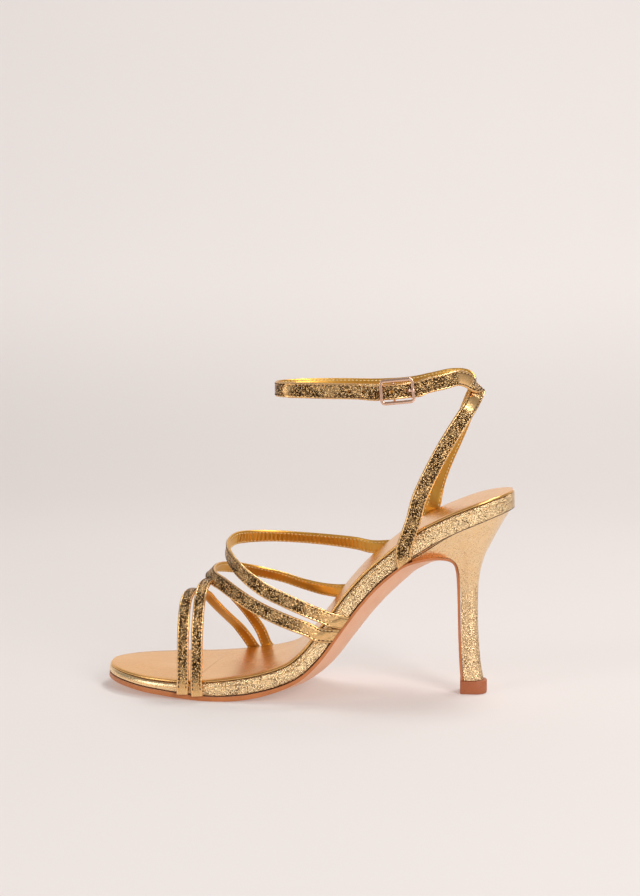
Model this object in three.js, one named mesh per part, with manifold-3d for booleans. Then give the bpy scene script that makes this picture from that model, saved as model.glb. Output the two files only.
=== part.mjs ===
// Strappy stiletto sandal for the left foot, in millimetres, +Z up.
// The toe points to -X and the outer side of the foot is at -Y. It stands on its forefoot and its heel tip.

import * as THREE from 'three';
import { mergeVertices } from 'three/addons/utils/BufferGeometryUtils.js';
import Module from 'manifold-3d';

const wasm = await Module();
wasm.setup();

// Driving dimensions of the sole

const soleLength = 216;
const ballWidth = 77.5;
const heelRise = 99;
const footbedThickness = 9.4;
const insoleThickness = 1.0;
const insoleMargin = 1.4;
const outsoleThickness = 2.6;
const shankSoleThickness = 1.3;
const keelDepth = 8.4;
const toeRound = 47;
const heelRound = 24;
const footbedCornerRadius = 2.2;
const treadPress = 0.35;
const clearance = 0.3;

// Driving dimensions of the heel

const heelSeatWidth = 50;
const heelTipHeight = 7;
const heelTipLength = 14.2;
const heelTipWidth = 12.8;

// Driving dimensions of the straps and the buckle

const strapThickness = 1.6;
const toeStrapWidth = 6.2;
const instepStrapWidth = 7.4;
const ankleStrapWidth = 8.0;
const strapCorner = 0.45;
const frontToeArch = 44;
const rearToeArch = 49;
const lowerInstepArch = 50;
const upperInstepArch = 64;
const ankleHeight = 160.8;
const ankleLoopLength = 106;
const ankleLoopWidth = 43;
const buckleLength = 18;
const buckleHeight = 13.2;
const buckleBar = 1.5;
const buckleRound = 2.6;
const prongWidth = 1.6;
const prongThickness = 1.0;
const strapHoleSize = 1.8;
const strapHolePitch = 7.3;
const strapHoleCount = 5;

// Section tables. Along is a share of the sole's length from the toe tip.

// rise is a share of the heel's rise, thick a share of the footbed's thickness, keel a share of the
// keel's depth, lateral and medial are shares of half the ball width, swing is a share of the ball width
const lastRows = [
  { along: 0.0000, rise: 0.025, thick: 0.50, keel: 0.00, lateral: 0.90, medial: 0.95, swing: 0.000 },
  { along: 0.0632, rise: 0.013, thick: 0.53, keel: 0.00, lateral: 0.91, medial: 0.98, swing: 0.000 },
  { along: 0.1322, rise: 0.002, thick: 0.58, keel: 0.00, lateral: 0.92, medial: 1.03, swing: 0.000 },
  { along: 0.2111, rise: 0.000, thick: 0.70, keel: 0.00, lateral: 0.955, medial: 1.045, swing: 0.000 },
  { along: 0.2900, rise: 0.012, thick: 0.93, keel: 0.00, lateral: 0.98, medial: 1.02, swing: 0.000 },
  { along: 0.3590, rise: 0.034, thick: 1.00, keel: 0.16, lateral: 0.975, medial: 0.97, swing: -0.004 },
  { along: 0.4083, rise: 0.060, thick: 1.00, keel: 0.38, lateral: 0.95, medial: 0.87, swing: -0.010 },
  { along: 0.4576, rise: 0.099, thick: 0.98, keel: 0.66, lateral: 0.90, medial: 0.77, swing: -0.017 },
  { along: 0.4971, rise: 0.172, thick: 0.97, keel: 0.84, lateral: 0.84, medial: 0.70, swing: -0.024 },
  { along: 0.5464, rise: 0.318, thick: 0.98, keel: 0.92, lateral: 0.77, medial: 0.635, swing: -0.032 },
  { along: 0.5957, rise: 0.465, thick: 0.99, keel: 0.98, lateral: 0.72, medial: 0.59, swing: -0.040 },
  { along: 0.6450, rise: 0.586, thick: 1.00, keel: 1.00, lateral: 0.69, medial: 0.575, swing: -0.046 },
  { along: 0.7042, rise: 0.697, thick: 1.02, keel: 0.90, lateral: 0.675, medial: 0.58, swing: -0.053 },
  { along: 0.7732, rise: 0.808, thick: 1.10, keel: 0.50, lateral: 0.67, medial: 0.615, swing: -0.060 },
  { along: 0.8225, rise: 0.866, thick: 1.10, keel: 0.10, lateral: 0.665, medial: 0.63, swing: -0.063 },
  { along: 0.8521, rise: 0.896, thick: 1.09, keel: 0.00, lateral: 0.66, medial: 0.635, swing: -0.064 },
  { along: 0.9310, rise: 0.960, thick: 1.06, keel: 0.00, lateral: 0.645, medial: 0.632, swing: -0.065 },
  { along: 1.0000, rise: 1.000, thick: 1.02, keel: 0.00, lateral: 0.632, medial: 0.632, swing: -0.065 },
];

// thin is how far the outsole has gone from its forefoot thickness to its shank thickness
const outsoleRows = [
  { along: 0.0000, thin: 0.15 },
  { along: 0.2111, thin: 0.00 },
  { along: 0.3689, thin: 0.00 },
  { along: 0.4872, thin: 0.70 },
  { along: 0.5858, thin: 1.00 },
  { along: 1.0000, thin: 1.00 },
];

// where the outsole leaves the footbed, as a share of the sole's length, and how much its keel grows there
const outsoleLeaves = 0.694;
const breastKeel = 1.3;

// the outsole from where it leaves the footbed, under the arch and down the breast of the heel:
// up is a share of the seat's height, half a share of the footbed's half width there
const breastRows = [
  { along: 0.7387, up: 0.6590, half: 1.00 },
  { along: 0.7732, up: 0.6810, half: 0.98 },
  { along: 0.8028, up: 0.6910, half: 0.93 },
  { along: 0.8274, up: 0.6870, half: 0.82 },
  { along: 0.8472, up: 0.6740, half: 0.66 },
  { along: 0.8600, up: 0.6480, half: 0.48 },
  { along: 0.8664, up: 0.6060, half: 0.34 },
  { along: 0.8693, up: 0.5400, half: 0.235 },
  { along: 0.8713, up: 0.4400, half: 0.195 },
  { along: 0.8738, up: 0.2700, half: 0.200 },
  { along: 0.8772, up: 0.1400, half: 0.215 },
  { along: 0.8802, up: 0.0700, half: 0.230 },
];

// level cuts of the heel block: up is a share of the seat's height, back of the sole's length, front and
// half of half the seat's width, at the breast and where the back starts to turn, and round of its width
const heelRows = [
  { up: 0.069, back: 0.9300, front: 0.235, half: 0.235, round: 0.12 },
  { up: 0.160, back: 0.9221, front: 0.215, half: 0.215, round: 0.11 },
  { up: 0.260, back: 0.9177, front: 0.198, half: 0.198, round: 0.10 },
  { up: 0.360, back: 0.9152, front: 0.190, half: 0.190, round: 0.10 },
  { up: 0.450, back: 0.9147, front: 0.195, half: 0.192, round: 0.10 },
  { up: 0.530, back: 0.9157, front: 0.260, half: 0.225, round: 0.12 },
  { up: 0.590, back: 0.9191, front: 0.550, half: 0.300, round: 0.15 },
  { up: 0.640, back: 0.9251, front: 0.880, half: 0.420, round: 0.20 },
  { up: 0.685, back: 0.9329, front: 0.980, half: 0.560, round: 0.26 },
  { up: 0.730, back: 0.9443, front: 1.000, half: 0.700, round: 0.33 },
  { up: 0.790, back: 0.9596, front: 1.000, half: 0.840, round: 0.40 },
  { up: 0.850, back: 0.9763, front: 1.000, half: 0.930, round: 0.45 },
  { up: 0.910, back: 0.9941, front: 1.000, half: 0.985, round: 0.47 },
  { up: 1.000, back: 1.0079, front: 1.000, half: 1.000, round: 0.48 },
];

// Strap tables. across is a share of the sole's half width there, minus on the outer side, drop a share of
// the footbed's thickness below its top, and lift a share of the strap's own arch over the footbed

const frontToeRows = [
  { along: 0.2091, across: -1, drop: 1.30 },
  { along: 0.2091, across: -1, drop: 0.45 },
  { along: 0.2101, across: -1, drop: -0.15 },
  { along: 0.2101, across: -0.985, lift: 0.30 },
  { along: 0.2101, across: -0.93, lift: 0.57 },
  { along: 0.2101, across: -0.82, lift: 0.80 },
  { along: 0.2111, across: -0.66, lift: 0.93 },
  { along: 0.2151, across: -0.44, lift: 0.985 },
  { along: 0.2239, across: -0.18, lift: 0.97 },
  { along: 0.2384, across: 0.05, lift: 0.889 },
  { along: 0.2496, across: 0.25, lift: 0.755 },
  { along: 0.2644, across: 0.47, lift: 0.600 },
  { along: 0.2821, across: 0.70, lift: 0.440 },
  { along: 0.3018, across: 0.87, lift: 0.285 },
  { along: 0.3216, across: 0.96, lift: 0.12 },
  { along: 0.3373, across: 1, drop: 0.10 },
  { along: 0.3472, across: 1, drop: 0.50 },
  { along: 0.3541, across: 1, drop: 1.30 },
];

const rearToeRows = [
  { along: 0.2427, across: -1, drop: 1.30 },
  { along: 0.2427, across: -1, drop: 0.45 },
  { along: 0.2437, across: -1, drop: -0.15 },
  { along: 0.2446, across: -0.985, lift: 0.27 },
  { along: 0.2446, across: -0.94, lift: 0.50 },
  { along: 0.2456, across: -0.84, lift: 0.73 },
  { along: 0.2466, across: -0.70, lift: 0.87 },
  { along: 0.2496, across: -0.50, lift: 0.96 },
  { along: 0.2565, across: -0.24, lift: 0.98 },
  { along: 0.2683, across: 0.04, lift: 0.93 },
  { along: 0.2831, across: 0.27, lift: 0.81 },
  { along: 0.3008, across: 0.48, lift: 0.665 },
  { along: 0.3196, across: 0.68, lift: 0.510 },
  { along: 0.3383, across: 0.84, lift: 0.350 },
  { along: 0.3571, across: 0.95, lift: 0.180 },
  { along: 0.3728, across: 1, drop: 0.05 },
  { along: 0.3847, across: 1, drop: 0.50 },
  { along: 0.3926, across: 1, drop: 1.30 },
];

const lowerInstepRows = [
  { along: 0.5484, across: -1, drop: 1.35, lean: 0 },
  { along: 0.5405, across: -1, drop: 0.93, lean: 0 },
  { along: 0.5286, across: -1, drop: 0.10, lean: 2 },
  { along: 0.5148, across: -1.005, lift: 0.12, lean: 4 },
  { along: 0.4971, across: -1.01, lift: 0.247, lean: 6 },
  { along: 0.4724, across: -1.00, lift: 0.39, lean: 8 },
  { along: 0.4281, across: -0.94, lift: 0.56, lean: 10 },
  { along: 0.3807, across: -0.83, lift: 0.70, lean: 12 },
  { along: 0.3344, across: -0.68, lift: 0.835, lean: 16 },
  { along: 0.2949, across: -0.47, lift: 0.935, lean: 26 },
  { along: 0.2653, across: -0.25, lift: 0.985, lean: 38 },
  { along: 0.2535, across: -0.02, lift: 1.02, lean: 46 },
  { along: 0.2624, across: 0.25, lift: 1.03, lean: 44 },
  { along: 0.2999, across: 0.56, lift: 0.97, lean: 38 },
  { along: 0.3541, across: 0.80, lift: 0.865, lean: 34 },
  { along: 0.4133, across: 0.98, lift: 0.74, lean: 32 },
  { along: 0.4724, across: 1.06, lift: 0.558, lean: 28 },
  { along: 0.5267, across: 1.05, lift: 0.252, lean: 16 },
  { along: 0.5720, across: 1, drop: 0.23, lean: 0 },
  { along: 0.5977, across: 1, drop: 1.00, lean: 0 },
];

const upperInstepRows = [
  { along: 0.5696, across: -1, drop: 1.35, lean: 0 },
  { along: 0.5632, across: -1, drop: 0.93, lean: 0 },
  { along: 0.5557, across: -1, drop: 0.20, lean: 2 },
  { along: 0.5444, across: -1.01, lift: 0.065, lean: 4 },
  { along: 0.5267, across: -1.015, lift: 0.175, lean: 6 },
  { along: 0.4971, across: -1.00, lift: 0.350, lean: 8 },
  { along: 0.4527, across: -0.94, lift: 0.536, lean: 10 },
  { along: 0.4083, across: -0.85, lift: 0.65, lean: 10 },
  { along: 0.3640, across: -0.72, lift: 0.775, lean: 8 },
  { along: 0.3314, across: -0.56, lift: 0.87, lean: 6 },
  { along: 0.3097, across: -0.36, lift: 0.94, lean: 4 },
  { along: 0.2989, across: -0.14, lift: 0.985, lean: 4 },
  { along: 0.2969, across: 0.08, lift: 1.01, lean: 8 },
  { along: 0.3097, across: 0.32, lift: 1.03, lean: 14 },
  { along: 0.3442, across: 0.56, lift: 1.01, lean: 22 },
  { along: 0.4034, across: 0.82, lift: 0.955, lean: 30 },
  { along: 0.4675, across: 1.03, lift: 0.856, lean: 32 },
  { along: 0.5365, across: 1.16, lift: 0.572, lean: 28 },
  { along: 0.6056, across: 1.15, lift: 0.240, lean: 16 },
  { along: 0.6598, across: 1.02, drop: -0.25, lean: 4 },
  { along: 0.6943, across: 1, drop: 0.53, lean: 0 },
  { along: 0.7121, across: 1, drop: 0.93, lean: 0 },
];

// the feet of the two ankle straps over the gold edge
const lateralFootRows = [
  { along: 0.7071, across: -1, drop: 1.25 },
  { along: 0.7239, across: -1, drop: 0.45 },
  { along: 0.7456, across: -1, drop: 0.00 },
];
const medialFootRows = [
  { along: 0.7693, across: 1, drop: 0.97 },
  { along: 0.7821, across: 1, drop: 0.45 },
  { along: 0.7929, across: 1, drop: 0.00 },
];

// the legs of the ankle straps: reach is a share of the way from the footbed's top to the ankle's height,
// across is a share of half the ankle loop's width
const lateralLegRows = [
  { along: 0.7604, across: -1.24, reach: 0.10 },
  { along: 0.7722, across: -1.19, reach: 0.22 },
  { along: 0.7978, across: -1.10, reach: 0.37 },
  { along: 0.8274, across: -0.98, reach: 0.53 },
  { along: 0.8580, across: -0.81, reach: 0.685 },
  { along: 0.8836, across: -0.60, reach: 0.815 },
  { along: 0.9004, across: -0.36, reach: 0.915 },
];
const medialLegRows = [
  { along: 0.8008, across: 1.10, reach: 0.04 },
  { along: 0.8117, across: 1.13, reach: 0.20 },
  { along: 0.8314, across: 1.08, reach: 0.37 },
  { along: 0.8541, across: 0.98, reach: 0.53 },
  { along: 0.8748, across: 0.80, reach: 0.685 },
  { along: 0.8896, across: 0.58, reach: 0.815 },
  { along: 0.9004, across: 0.34, reach: 0.915 },
];

// height of the ankle loop's middle as a share of the ankle's height
const ankleRows = [
  { along: 0.4212, level: 0.998 },
  { along: 0.5069, level: 1.000 },
  { along: 0.6844, level: 0.999 },
  { along: 0.7436, level: 1.006 },
  { along: 0.8028, level: 1.023 },
  { along: 0.8501, level: 1.037 },
  { along: 0.8698, level: 1.042 },
  { along: 0.8836, level: 1.034 },
  { along: 0.8965, level: 1.018 },
  { along: 0.9063, level: 1.008 },
  { along: 0.9122, level: 1.005 },
];

// the free end of the strap at the buckle: along is a share of the buckle's length, rise goes from lying on
// the other strap (0) to passing over the pivot bar (1)
const freeEndRows = [
  { at: 0.62, rise: 0 },
  { at: 0.455, rise: 0 },
  { at: 0.30, rise: 0.27 },
  { at: 0.11, rise: 0.73 },
  { at: -0.095, rise: 1 },
  { at: -0.28, rise: 0.5 },
  { at: -0.455, rise: 0 },
  { at: -0.62, rise: 0 },
];

// the prong from its ring under the strap, up through the hole and on to the frame's end bar
const prongRows = [
  { at: -0.01, rise: 0.04 },
  { at: 0.128, rise: 0 },
  { at: 0.222, rise: 0.136 },
  { at: 0.280, rise: 0.477 },
  { at: 0.333, rise: 0.864 },
  { at: 0.406, rise: 1 },
  { at: 0.511, rise: 1 },
];

// Values worked out from the driving dimensions

const halfBall = ballWidth / 2;
const halfSeat = heelSeatWidth / 2;
const treadAlong = 0.28;
const sideBySide = strapThickness + clearance;
const wallStandOff = 1.5 * clearance + strapThickness / 2;

// Interpolation

// A smooth curve through one column of a table that never overshoots its rows
function column(rows, key, axis = 'along') {
  const at = rows.map((row) => row[axis]);
  const value = rows.map((row) => row[key]);
  const steps = at.slice(1).map((next, i) => next - at[i]);
  const slopes = steps.map((step, i) => (value[i + 1] - value[i]) / step);
  const tangents = at.map((_, i) => {
    if (i === 0) return slopes[0];
    if (i === at.length - 1) return slopes[i - 1];
    const before = slopes[i - 1];
    const after = slopes[i];
    return before * after <= 0 ? 0 : 2 * before * after / (before + after);
  });
  return (where) => {
    let i = 0;
    while (i < steps.length - 1 && where > at[i + 1]) i += 1;
    const t = THREE.MathUtils.clamp((where - at[i]) / steps[i], 0, 1);
    const left = value[i] * (1 + 2 * t) * (1 - t) ** 2 + tangents[i] * steps[i] * t * (1 - t) ** 2;
    const right = value[i + 1] * (3 - 2 * t) * t ** 2 - tangents[i + 1] * steps[i] * (1 - t) * t ** 2;
    return left + right;
  };
}

// How far a rounded end has opened at a distance from its tip
function roundedEnd(distance, radius) {
  const t = THREE.MathUtils.clamp(1 - distance / radius, 0, 1);
  return Math.sqrt(1 - t * t);
}

// The last

const last = {};
for (const key of ['rise', 'thick', 'keel', 'lateral', 'medial', 'swing']) last[key] = column(lastRows, key);
const outsoleThin = column(outsoleRows, 'thin');
const forefootTop = outsoleThickness + clearance + footbedThickness * last.thick(treadAlong)
  - heelRise * last.rise(treadAlong) - treadPress;
const seatHeight = forefootTop + heelRise;

function topHeight(along) {
  return forefootTop + heelRise * last.rise(along);
}

// One cut across the sole: its place, its normal in the side view, its half widths and depths.
// The normal leans with the sole's slope and stands upright again at the back of the heel.
function solePlace(along) {
  const reach = 0.004;
  const low = Math.max(along - reach, 0);
  const high = Math.min(along + reach, 1);
  const slope = Math.atan2(topHeight(high) - topHeight(low), (high - low) * soleLength);
  const upright = THREE.MathUtils.smoothstep(along, 0.84, 1);
  const lean = slope * (1 - 0.9 * upright);
  const opened = Math.min(
    roundedEnd(along * soleLength, toeRound),
    roundedEnd((1 - along) * soleLength, heelRound),
  );
  return {
    point: new THREE.Vector3(along * soleLength, last.swing(along) * ballWidth, topHeight(along)),
    normal: new THREE.Vector3(-Math.sin(lean), 0, Math.cos(lean)),
    lateral: last.lateral(along) * halfBall * opened,
    medial: last.medial(along) * halfBall * opened,
    fullLateral: last.lateral(along) * halfBall,
    fullMedial: last.medial(along) * halfBall,
    thick: last.thick(along) * footbedThickness,
    keel: last.keel(along) * keelDepth,
    sole: THREE.MathUtils.lerp(outsoleThickness, shankSoleThickness, outsoleThin(along)),
  };
}

// Stations along the sole, close together at the toe and heel.
// All layers share them, so their gaps stay even.
const soleSteps = 40;
const soleStations = Array.from({ length: soleSteps + 1 }, (_, i) => {
  return THREE.MathUtils.lerp(0.0002, 0.9998, (1 - Math.cos(Math.PI * i / soleSteps)) / 2);
});

// Closed meshes

function orient(positions, index) {
  let volume = 0;
  const [a, b, c] = [new THREE.Vector3(), new THREE.Vector3(), new THREE.Vector3()];
  for (let i = 0; i < index.length; i += 3) {
    a.fromArray(positions, index[i] * 3);
    b.fromArray(positions, index[i + 1] * 3);
    c.fromArray(positions, index[i + 2] * 3);
    volume += a.dot(b.cross(c));
  }
  if (volume < 0) index.reverse();
}

// A closed body through rings of equal count, its ends closed by strips across each ring
function loft(rings) {
  const count = rings[0].length;
  const positions = rings.flatMap((ring) => ring.flatMap((p) => [p.x, p.y, p.z]));
  const index = [];
  for (let i = 0; i < rings.length - 1; i += 1) {
    for (let j = 0; j < count; j += 1) {
      const k = (j + 1) % count;
      const [a, b] = [i * count + j, i * count + k];
      index.push(a, b, a + count, b, b + count, a + count);
    }
  }
  for (const [start, flip] of [[0, true], [(rings.length - 1) * count, false]]) {
    for (let j = 0; j < count / 2 - 1; j += 1) {
      const [a, b] = [start + j, start + j + 1];
      const [c, d] = [start + count - 2 - j, start + count - 1 - j];
      if (flip) index.push(a, d, b, b, d, c);
      else index.push(a, b, d, b, c, d);
    }
  }
  orient(positions, index);
  const geometry = new THREE.BufferGeometry();
  geometry.setAttribute('position', new THREE.Float32BufferAttribute(positions, 3));
  geometry.setIndex(index);
  return geometry;
}

function toSolid(source) {
  const geometry = source.clone();
  geometry.deleteAttribute('normal');
  geometry.deleteAttribute('uv');
  const merged = mergeVertices(geometry, 1e-4);
  return new wasm.Manifold(new wasm.Mesh({
    numProp: 3,
    vertProperties: new Float32Array(merged.attributes.position.array),
    triVerts: new Uint32Array(merged.index.array),
  }));
}

function toGeometry(solid) {
  const mesh = solid.getMesh();
  const geometry = new THREE.BufferGeometry();
  geometry.setAttribute('position', new THREE.BufferAttribute(mesh.vertProperties, 3));
  geometry.setIndex(new THREE.BufferAttribute(mesh.triVerts, 1));
  return geometry;
}

// Layers of the sole

const acrossShares = [-1, -0.75, -0.5, -0.25, 0, 0.25, 0.5, 0.75, 1];

// A point of a cut: share across from the outer edge (-1) to the inner edge (1), and depth under the top
function cutPoint(place, share, depth, inset = 0) {
  const half = share < 0 ? place.lateral : place.medial;
  const drawnIn = Math.min(inset, half * 0.5) * Math.abs(share);
  const y = place.point.y + Math.sign(share) * (Math.abs(share) * half - drawnIn);
  return new THREE.Vector3(place.point.x, y, place.point.z).addScaledVector(place.normal, -depth);
}

function keelShape(share) {
  return Math.max(0, 1 - share * share);
}

function footbedRing(place) {
  const top = insoleThickness + clearance;
  const r = Math.min(footbedCornerRadius, (place.thick - top) / 2);
  const tuck = Math.min(clearance, 0.04 * place.lateral);
  const side = [
    [1, place.thick, tuck],
    [1, top + r, 0],
    [1, top + 0.3 * r, 0.3 * r],
    [1, top, r],
  ];
  const upper = [
    ...side.map(([share, depth, inset]) => cutPoint(place, -share, depth, inset)),
    cutPoint(place, 0, top),
    ...side.toReversed().map(([share, depth, inset]) => cutPoint(place, share, depth, inset)),
  ];
  const lower = acrossShares.toReversed().map((share) => {
    return cutPoint(place, share * 0.94, place.thick + place.keel * keelShape(share * 0.94));
  });
  return [...upper, ...lower];
}

function insoleRing(place) {
  const r = 0.4 * insoleThickness;
  const upper = [
    cutPoint(place, -1, r, insoleMargin),
    cutPoint(place, -1, 0, insoleMargin + r),
    cutPoint(place, 0, 0),
    cutPoint(place, 1, 0, insoleMargin + r),
    cutPoint(place, 1, r, insoleMargin),
  ];
  const lower = [1, 0.5, 0, -0.5, -1].map((share) => cutPoint(place, share, insoleThickness, insoleMargin));
  return [...upper, ...lower];
}

function makeFootbed() {
  return loft(soleStations.map((along) => footbedRing(solePlace(along))));
}

function makeInsole() {
  return loft(soleStations.slice(2, -2).map((along) => insoleRing(solePlace(along))));
}

// The outsole runs under the footbed, leaves it at the arch and goes down the breast of the heel.
// Each of its cuts has a point on its upper face, a normal into the shoe and its half widths.
function outsoleCuts() {
  const underFootbed = (along) => {
    const place = solePlace(along);
    place.point.addScaledVector(place.normal, -place.thick - clearance);
    return place;
  };
  const cuts = soleStations.filter((along) => along < outsoleLeaves - 0.012).map(underFootbed);
  const knots = [outsoleLeaves - 0.08, outsoleLeaves - 0.04, outsoleLeaves].map((along) => {
    const { point } = underFootbed(along);
    return { along, half: 1, point };
  });
  for (const row of breastRows) {
    const lowest = row === breastRows.at(-1);
    const z = lowest ? heelTipHeight + clearance : row.up * seatHeight;
    knots.push({ ...row, point: new THREE.Vector3(row.along * soleLength, 0, z) });
  }
  const flat = knots.map(({ point }) => new THREE.Vector3(point.x, 0, point.z));
  const curve = new THREE.CatmullRomCurve3(flat, false, 'centripetal');
  const steps = 2;
  for (let i = 2 * steps; i <= (knots.length - 1) * steps; i += 1) {
    const from = knots[Math.floor(i / steps)];
    const to = knots[Math.min(Math.floor(i / steps) + 1, knots.length - 1)];
    const mix = (i % steps) / steps;
    const along = THREE.MathUtils.lerp(from.along, to.along, mix);
    const half = THREE.MathUtils.lerp(from.half, to.half, mix);
    const share = i / steps / (knots.length - 1);
    const place = solePlace(along);
    const tangent = curve.getTangent(share);
    const point = curve.getPoint(share);
    const turned = Math.min(1, (i / steps - 2) / 2);
    const normal = new THREE.Vector3(-tangent.z, 0, tangent.x);
    cuts.push({
      ...place,
      onHeel: true,
      point: new THREE.Vector3(point.x, place.point.y, point.z),
      normal: place.normal.clone().lerp(normal, turned).normalize(),
      keel: place.keel * THREE.MathUtils.lerp(1, breastKeel, Math.sqrt(turned)),
      lateral: place.fullLateral * half,
      medial: place.fullMedial * half,
    });
  }
  return cuts;
}

function makeOutsole() {
  return loft(outsoleCuts().map((cut) => {
    const upper = acrossShares.toReversed().map((share) => {
      return cutPoint(cut, share, cut.keel * keelShape(share));
    });
    const lower = acrossShares.map((share) => cutPoint(cut, share, cut.keel * keelShape(share) + cut.sole));
    const lowest = cut.onHeel ? heelTipHeight + clearance : 0;
    for (const p of [...upper, ...lower]) p.z = Math.max(p.z, lowest);
    return [...upper, ...lower];
  }));
}

// The heel block and its tip

const heelCentre = last.swing(0.9) * ballWidth;
const heelFoot = heelTipHeight + clearance;

// A level D-shaped ring: straight sides from the front, a half ellipse at the back
function levelRing(z, front, back, frontHalf, half, round) {
  const side = (sign) => {
    const arc = [0, 18, 36, 54, 72, 86].map((degrees) => {
      const angle = THREE.MathUtils.degToRad(degrees);
      const x = back - round + round * Math.sin(angle);
      return new THREE.Vector3(x, heelCentre + sign * half * Math.cos(angle), z);
    });
    return [new THREE.Vector3(front, heelCentre + sign * frontHalf, z), ...arc];
  };
  return [...side(-1), ...side(1).toReversed()];
}

// A cut with more width beyond its own edges, so that a cutter reaches past what it cuts
function spreadPoint(cut, share, depth) {
  const half = share < 0 ? cut.lateral : cut.medial;
  const extra = Math.max(0, Math.abs(share) - 1) * heelSeatWidth;
  const y = cut.point.y + Math.sign(share) * (Math.min(1, Math.abs(share)) * half + extra);
  return new THREE.Vector3(cut.point.x, y, cut.point.z).addScaledVector(cut.normal, -depth);
}

// A wide body between two depths. Its face at nearDepth has the same triangles as the layer it faces.
function cutter(cuts, nearDepth, farDepth) {
  const shares = [-1.5, ...acrossShares, 1.5];
  return toSolid(loft(cuts.map((cut) => {
    const near = shares.toReversed().map((share) => spreadPoint(cut, share, nearDepth(cut, share)));
    const far = shares.map((share) => spreadPoint(cut, share, farDepth(cut, share)));
    return [...near, ...far];
  })));
}

// The heel block is a stack of level rings, cut in front by the outsole and above by the footbed
function makeHeel() {
  const frontBehindLeaving = 0.063;
  const lidBeforeLeaving = 0.14;
  const front = (outsoleLeaves + frontBehindLeaving) * soleLength;
  const heelBack = column(heelRows, 'back', 'up');
  const heelBreast = column(heelRows, 'front', 'up');
  const heelHalf = column(heelRows, 'half', 'up');
  const heelTurn = column(heelRows, 'round', 'up');
  const levels = 20;
  const block = toSolid(loft(Array.from({ length: levels + 1 }, (_, i) => {
    const z = THREE.MathUtils.lerp(heelFoot, seatHeight, i / levels);
    const up = z / seatHeight;
    const back = heelBack(up) * soleLength;
    const turn = heelTurn(up) * heelSeatWidth;
    return levelRing(z, front, back, heelBreast(up) * halfSeat, heelHalf(up) * halfSeat, turn);
  })));

  const cuts = outsoleCuts().filter((cut) => cut.point.x > front - 1.4 * heelTipLength);
  const edgeAllowance = 0.8;
  const airDepth = 2.4;
  const outline = cuts.map((cut) => cut.point.clone().addScaledVector(cut.normal, -cut.keel - edgeAllowance));
  const side = new THREE.Shape();
  side.moveTo(outline[0].x, 2 * seatHeight);
  for (const p of outline) side.lineTo(p.x, p.z);
  side.lineTo(outline.at(-1).x, 0);
  side.lineTo(2 * soleLength, 0);
  side.lineTo(2 * soleLength, 2 * seatHeight);
  const slab = new THREE.ExtrudeGeometry(side, { depth: 2 * heelSeatWidth, bevelEnabled: false });
  slab.rotateX(Math.PI / 2);
  slab.translate(0, heelSeatWidth, 0);

  const air = cutter(
    [...cuts, { ...cuts.at(-1), point: cuts.at(-1).point.clone().setZ(0) }],
    (cut, share) => cut.keel * keelShape(share) - clearance,
    (cut, share) => cut.keel * (1 + keelShape(share)) + airDepth,
  );
  const places = soleStations.filter((along) => along > outsoleLeaves - lidBeforeLeaving).map((along) => {
    const place = solePlace(along);
    return { ...place, lateral: place.fullLateral, medial: place.fullMedial };
  });
  const end = places.at(-1);
  places.push({ ...end, point: end.point.clone().add(new THREE.Vector3(heelTipLength, 0, 0)) });
  const lid = cutter(
    places,
    (place, share) => place.thick + place.keel * keelShape(share) + clearance,
    () => -seatHeight / 2,
  );
  return toGeometry(block.intersect(toSolid(slab)).subtract(air).subtract(lid));
}

function makeHeelTip() {
  const front = breastRows.at(-1).along * soleLength - shankSoleThickness - clearance;
  return loft([[0, 0.97], [0.12, 1], [1, 1]].map(([share, size]) => {
    const back = front + heelTipLength * (1 + size) / 2;
    const start = front + heelTipLength * (1 - size) / 2;
    const half = heelTipWidth / 2 * size;
    return levelRing(share * heelTipHeight, start, back, half, half, heelTipWidth * 0.45);
  }));
}

// Straps

// A flat band through stations of a place, a direction along it and a direction across it
function band(stations, width, thickness, corner = strapCorner) {
  const c = corner;
  return loft(stations.map(({ point, across, out, scale = 1, slim = 1 }) => {
    const w = width / 2 * scale;
    const t = thickness / 2 * slim;
    const corners = [
      [-w, -t + c * slim], [-w + c, -t], [w - c, -t], [w, -t + c * slim],
      [w, t - c * slim], [w - c, t], [-w + c, t], [-w, t - c * slim],
    ];
    return corners.map(([a, b]) => point.clone().addScaledVector(across, a).addScaledVector(out, b));
  }));
}

// A place on or above the footbed from a row of a strap's table
function strapPoint(row, arch) {
  const place = solePlace(row.along);
  const half = row.across < 0 ? place.lateral : place.medial;
  const y = place.point.y + row.across * (half + wallStandOff);
  if (row.drop !== undefined) {
    return place.point.clone().setY(y).addScaledVector(place.normal, -row.drop * place.thick);
  }
  return new THREE.Vector3(place.point.x, y, place.point.z + row.lift * arch);
}

// Stations along a smooth path through points, steps of them from each point to the next.
// guide gives the direction that the band's width follows.
function bandStations(points, steps, guide) {
  const curve = new THREE.CatmullRomCurve3(points, false, 'centripetal');
  const count = (points.length - 1) * steps;
  return Array.from({ length: count + 1 }, (_, i) => {
    const share = i / count;
    const point = curve.getPoint(share);
    const tangent = curve.getTangent(share);
    const wanted = guide(i / steps, tangent);
    const across = wanted.clone().addScaledVector(tangent, -wanted.dot(tangent)).normalize();
    const out = new THREE.Vector3().crossVectors(across, tangent);
    return { point, tangent, across, out };
  });
}

const heelward = new THREE.Vector3(1, 0, 0);

function toeStrap(rows, arch) {
  const points = rows.map((row) => strapPoint(row, arch));
  return band(bandStations(points, 2, () => heelward), toeStrapWidth, strapThickness);
}

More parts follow.
